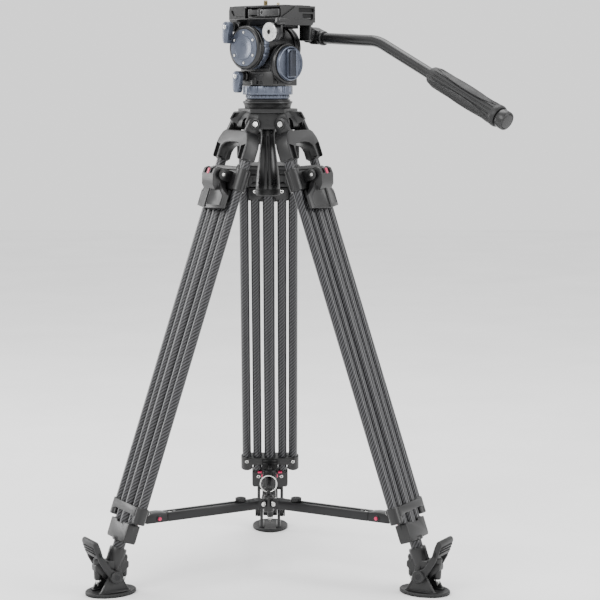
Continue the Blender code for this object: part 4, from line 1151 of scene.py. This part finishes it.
def makeHandle(size):
    y, z = size["pivot"]
    bracket = turned("handleBracket", ((0, 35.9), (10.6, 35.9), (11.2, 36.6), (11.2, 39.2),
        (10.4, 39.8), (10.4, 40.6), (11.2, 41.2), (11.2, 44.0), (10.4, 45), (0, 45)), "x",
        centre=(y, z), steps=40)
    arm = slab("clampArm", ((-60.2, 786.6), (-45, 787.2), (-36, 790.5), (-33.8, 797), (-34.5, 808),
        (-39, 812.6), (-48, 811.4), (-60.2, 806.4)), "x", 43.4, 60.8, edge=2.4, steps=3)
    split = block("split", (40, 66), (-62, -46), (796.4, 797.6), edge=0)
    arm = carved(arm, split)
    collar = turned("collar", ((8.3, 0), (10.2, 0), (10.6, 0.8), (10.6, 5.5), (10.0, 6.3),
        (8.3, 6.3)), "z", steps=36, closed=True)
    toCorner = atan2(size["corner"][1] - size["start"][1], size["corner"][0] - size["start"][0])
    collar = tilted(collar, Matrix.Rotation(toCorner - pi / 2, 4, "X"))
    collar = tilted(collar, Matrix.Translation(Vector((size["offset"], size["start"][0] + 1.0,
        size["start"][1])) * mm))
    teeth = []
    for k in range(24):
        tooth = block("tooth", (36.8, 43.6), (y + 10.4, y + 11.9), (z - 0.8, z + 0.8), edge=0.3)
        teeth.append(tilted(tooth, Matrix.Rotation(radians(15 * k), 4, "X"), (0, y, z)))
    settle(together("handleBracket", bracket, arm, collar, *teeth), headPlace, "handle",
        ["handle_bracket"])
    knob = turned("handleKnob", ((0, 61.3), (5, 61.3), (7.4, 62.2), (7.4, 69.8), (6.6, 70.8),
        (5.0, 71), (0, 70.6)), "x", centre=(y - 4, 799), steps=28)
    settle(knob, headPlace, "handle_clamp", ["handle_clamp_knob"])
    # tube: a ring drawn along, spun round the bend and drawn on
    start, corner, end = (Vector((size["offset"],) + size[key])
        for key in ("start", "corner", "end"))
    first, second = (corner - start).normalized(), (end - corner).normalized()
    turn = first.angle(second)
    reach = size["bend"] * tan(turn / 2)
    gripStart = corner + (end - corner) * size["gripFrom"]
    choose(knob)
    bpy.ops.object.select_all(action="DESELECT")
    bpy.ops.mesh.primitive_circle_add(vertices=36, radius=size["bar"] * mm, fill_type="NGON",
        location=start * mm, rotation=first.to_track_quat("Z", "Y").to_euler())
    tube = bpy.context.active_object
    bpy.ops.object.transform_apply(location=True, rotation=True, scale=True)
    bpy.ops.object.mode_set(mode="EDIT")
    bpy.ops.mesh.select_all(action="SELECT")
    drawOut((corner - first * reach - start) * mm)
    down = Vector((0, -first.z, first.y))  # square to the bar, towards the floor
    centre = corner - first * reach + down * size["bend"]
    bpy.ops.mesh.spin(steps=14, angle=-turn, center=centre * mm, axis=(1, 0, 0))
    drawOut((gripStart - corner - second * reach) * mm)
    tidyMesh()
    wear(tube, satinLacquer, 38)
    tube.name = "panBar"
    settle(tube, headPlace, "handle", ["pan_bar"])
    # grip: long ribs between smooth ovals
    gripTurn = Matrix.Rotation(atan2(-second.y, second.z), 4, "X")
    gripPlace = headPlace @ Matrix.Translation(gripStart * mm) @ gripTurn
    length = (end - gripStart).length
    outline = []
    for step in range(size["gripSteps"]):
        r, turn = 1.0 if step % 8 < 5 else 0.94, 2 * pi * step / size["gripSteps"]
        outline.append((r * cos(turn), r * sin(turn)))
    ribbed = lofted("gripSleeve", outline, [(7, 13.4), (12, 14.6), (30, 14.7), (70, 14.2),
        (110, 14.3), (length - 30, 14.9), (length - 21, 14.9)], mouldedRubber, 20)
    ends = turned("gripEnds", ((0, 0.3), (11.0, 0.3), (12.4, 2), (13.2, 6), (14.2, 10), (13.8, 13),
        (0, 13)), "z", mouldedRubber, steps=48)
    tail = turned("gripTail", ((0, length - 24), (14.6, length - 24), (15.5, length - 21),
        (15.5, length - 17), (14.4, length - 14.4), (0, length - 14.4)), "z", mouldedRubber,
        steps=48)
    ovals = []
    for side in range(4):
        oval = [(6.4 * cos(2 * pi * k / 40), length * 0.46 + length * 0.34 * sin(2 * pi * k / 40))
            for k in range(40)]
        made = slab("oval", oval, "y", 12.0, 14.9, mouldedRubber, edge=0.5)
        ovals.append(tilted(made, Matrix.Rotation(radians(90 * side + 20), 4, "Z")))
    settle(together("gripSleeve", ribbed, ends, tail, *ovals), gripPlace, "handle",
        ["grip"])
    cap = turned("gripCap", ((0, length - 14), (12.6, length - 14), (13.2, length - 12),
        (13.4, length - 3.2), (12.8, length - 1.4), (11.0, length - 0.6), (10.4, length - 1.3),
        (9.8, length - 0.5), (8.0, length - 0.2), (0, length - 0.2)), "z", steps=48)
    settle(cap, gripPlace, "handle", ["grip_end_cap"])


makeCrown(crownSizes)
makeBowl(bowlSizes)
print("crown made")
makePan(panSizes)
makeHeadBody(bodySizes)
makeBalanceKnob(bodySizes)
makeCheeks(cheekSizes)
makeLock("panLock", lockSizes, (14, 741), -42.3, -51.6, "pan_lock", "pan_lock_lever")
makeLock("tiltLock", lockSizes, (27, 812), -49.3, -59.6, "tilt_lock", "tilt_lock_lever")
print("head made")
makePlatform(platformSizes)
makePlate(plateSizes)
print("plate made")
makeHandle(handleSizes)
print("handle made")

# plain white backdrop paper
backdropPaper = coatedMaterial("whiteBackdropPaper", {"dark": "#f4f4f4", "light": "#fafafa",
    "rough": (0.85, 0.95), "driftMm": 300.0, "grainMm": 2.0, "bump": 0.02})


def makeFloor():
    bpy.ops.object.select_all(action="DESELECT")
    bpy.ops.mesh.primitive_plane_add(size=12)
    floor = bpy.context.active_object
    floor.name = "floor"
    bpy.ops.object.mode_set(mode="EDIT")
    bpy.ops.mesh.subdivide(number_cuts=1)
    bpy.ops.object.mode_set(mode="OBJECT")
    floor.data.materials.append(backdropPaper)


lightPlaces = {  # place, aim, size and power
    "keyLight": ((-1.6, -1.9, 2.1), (0, 0, 0.45), (1.3, 1.3), 52),
    "rightLight": ((2.2, -1.1, 1.3), (0, 0, 0.45), (0.9, 1.8), 38),
    "topLight": ((0.1, 0.5, 2.6), (0, 0, 0.5), (1.6, 1.2), 34),
    "leftEdgeLight": ((-2.2, 0.9, 1.1), (0, 0, 0.5), (0.6, 1.6), 30),
}


def softLight(name, place, aim, size, power):
    direction = Vector(aim) - Vector(place)
    bpy.ops.object.light_add(type="AREA", location=place,
        rotation=direction.to_track_quat("-Z", "Y").to_euler())
    light = bpy.context.active_object
    light.name = name
    light.data.shape = "RECTANGLE"
    light.data.size, light.data.size_y = size
    light.data.energy = power


makeFloor()
for name, (place, aim, size, power) in lightPlaces.items():
    softLight(name, place, aim, size, power)

roomStrength = 1.35
world = bpy.data.worlds.new("paleRoom")
bpy.context.scene.world = world
world.use_nodes = True
background = world.node_tree.nodes["Background"]
background.inputs["Color"].default_value = hexColour("#ffffff")
background.inputs["Strength"].default_value = roomStrength
print("floor and lights made")

cameraSizes = {"place": (-0.00081, -2.80981, 0.75257), "turn": (82.995, 0, -0.393), "lens": 113.2,
    "sensor": 36}
bpy.ops.object.camera_add(location=cameraSizes["place"],
    rotation=[radians(a) for a in cameraSizes["turn"]])
camera = bpy.context.active_object
camera.name = "photoCamera"
camera.data.lens = cameraSizes["lens"]
camera.data.sensor_width = cameraSizes["sensor"]
camera.data.dof.use_dof = False
bpy.context.scene.camera = camera
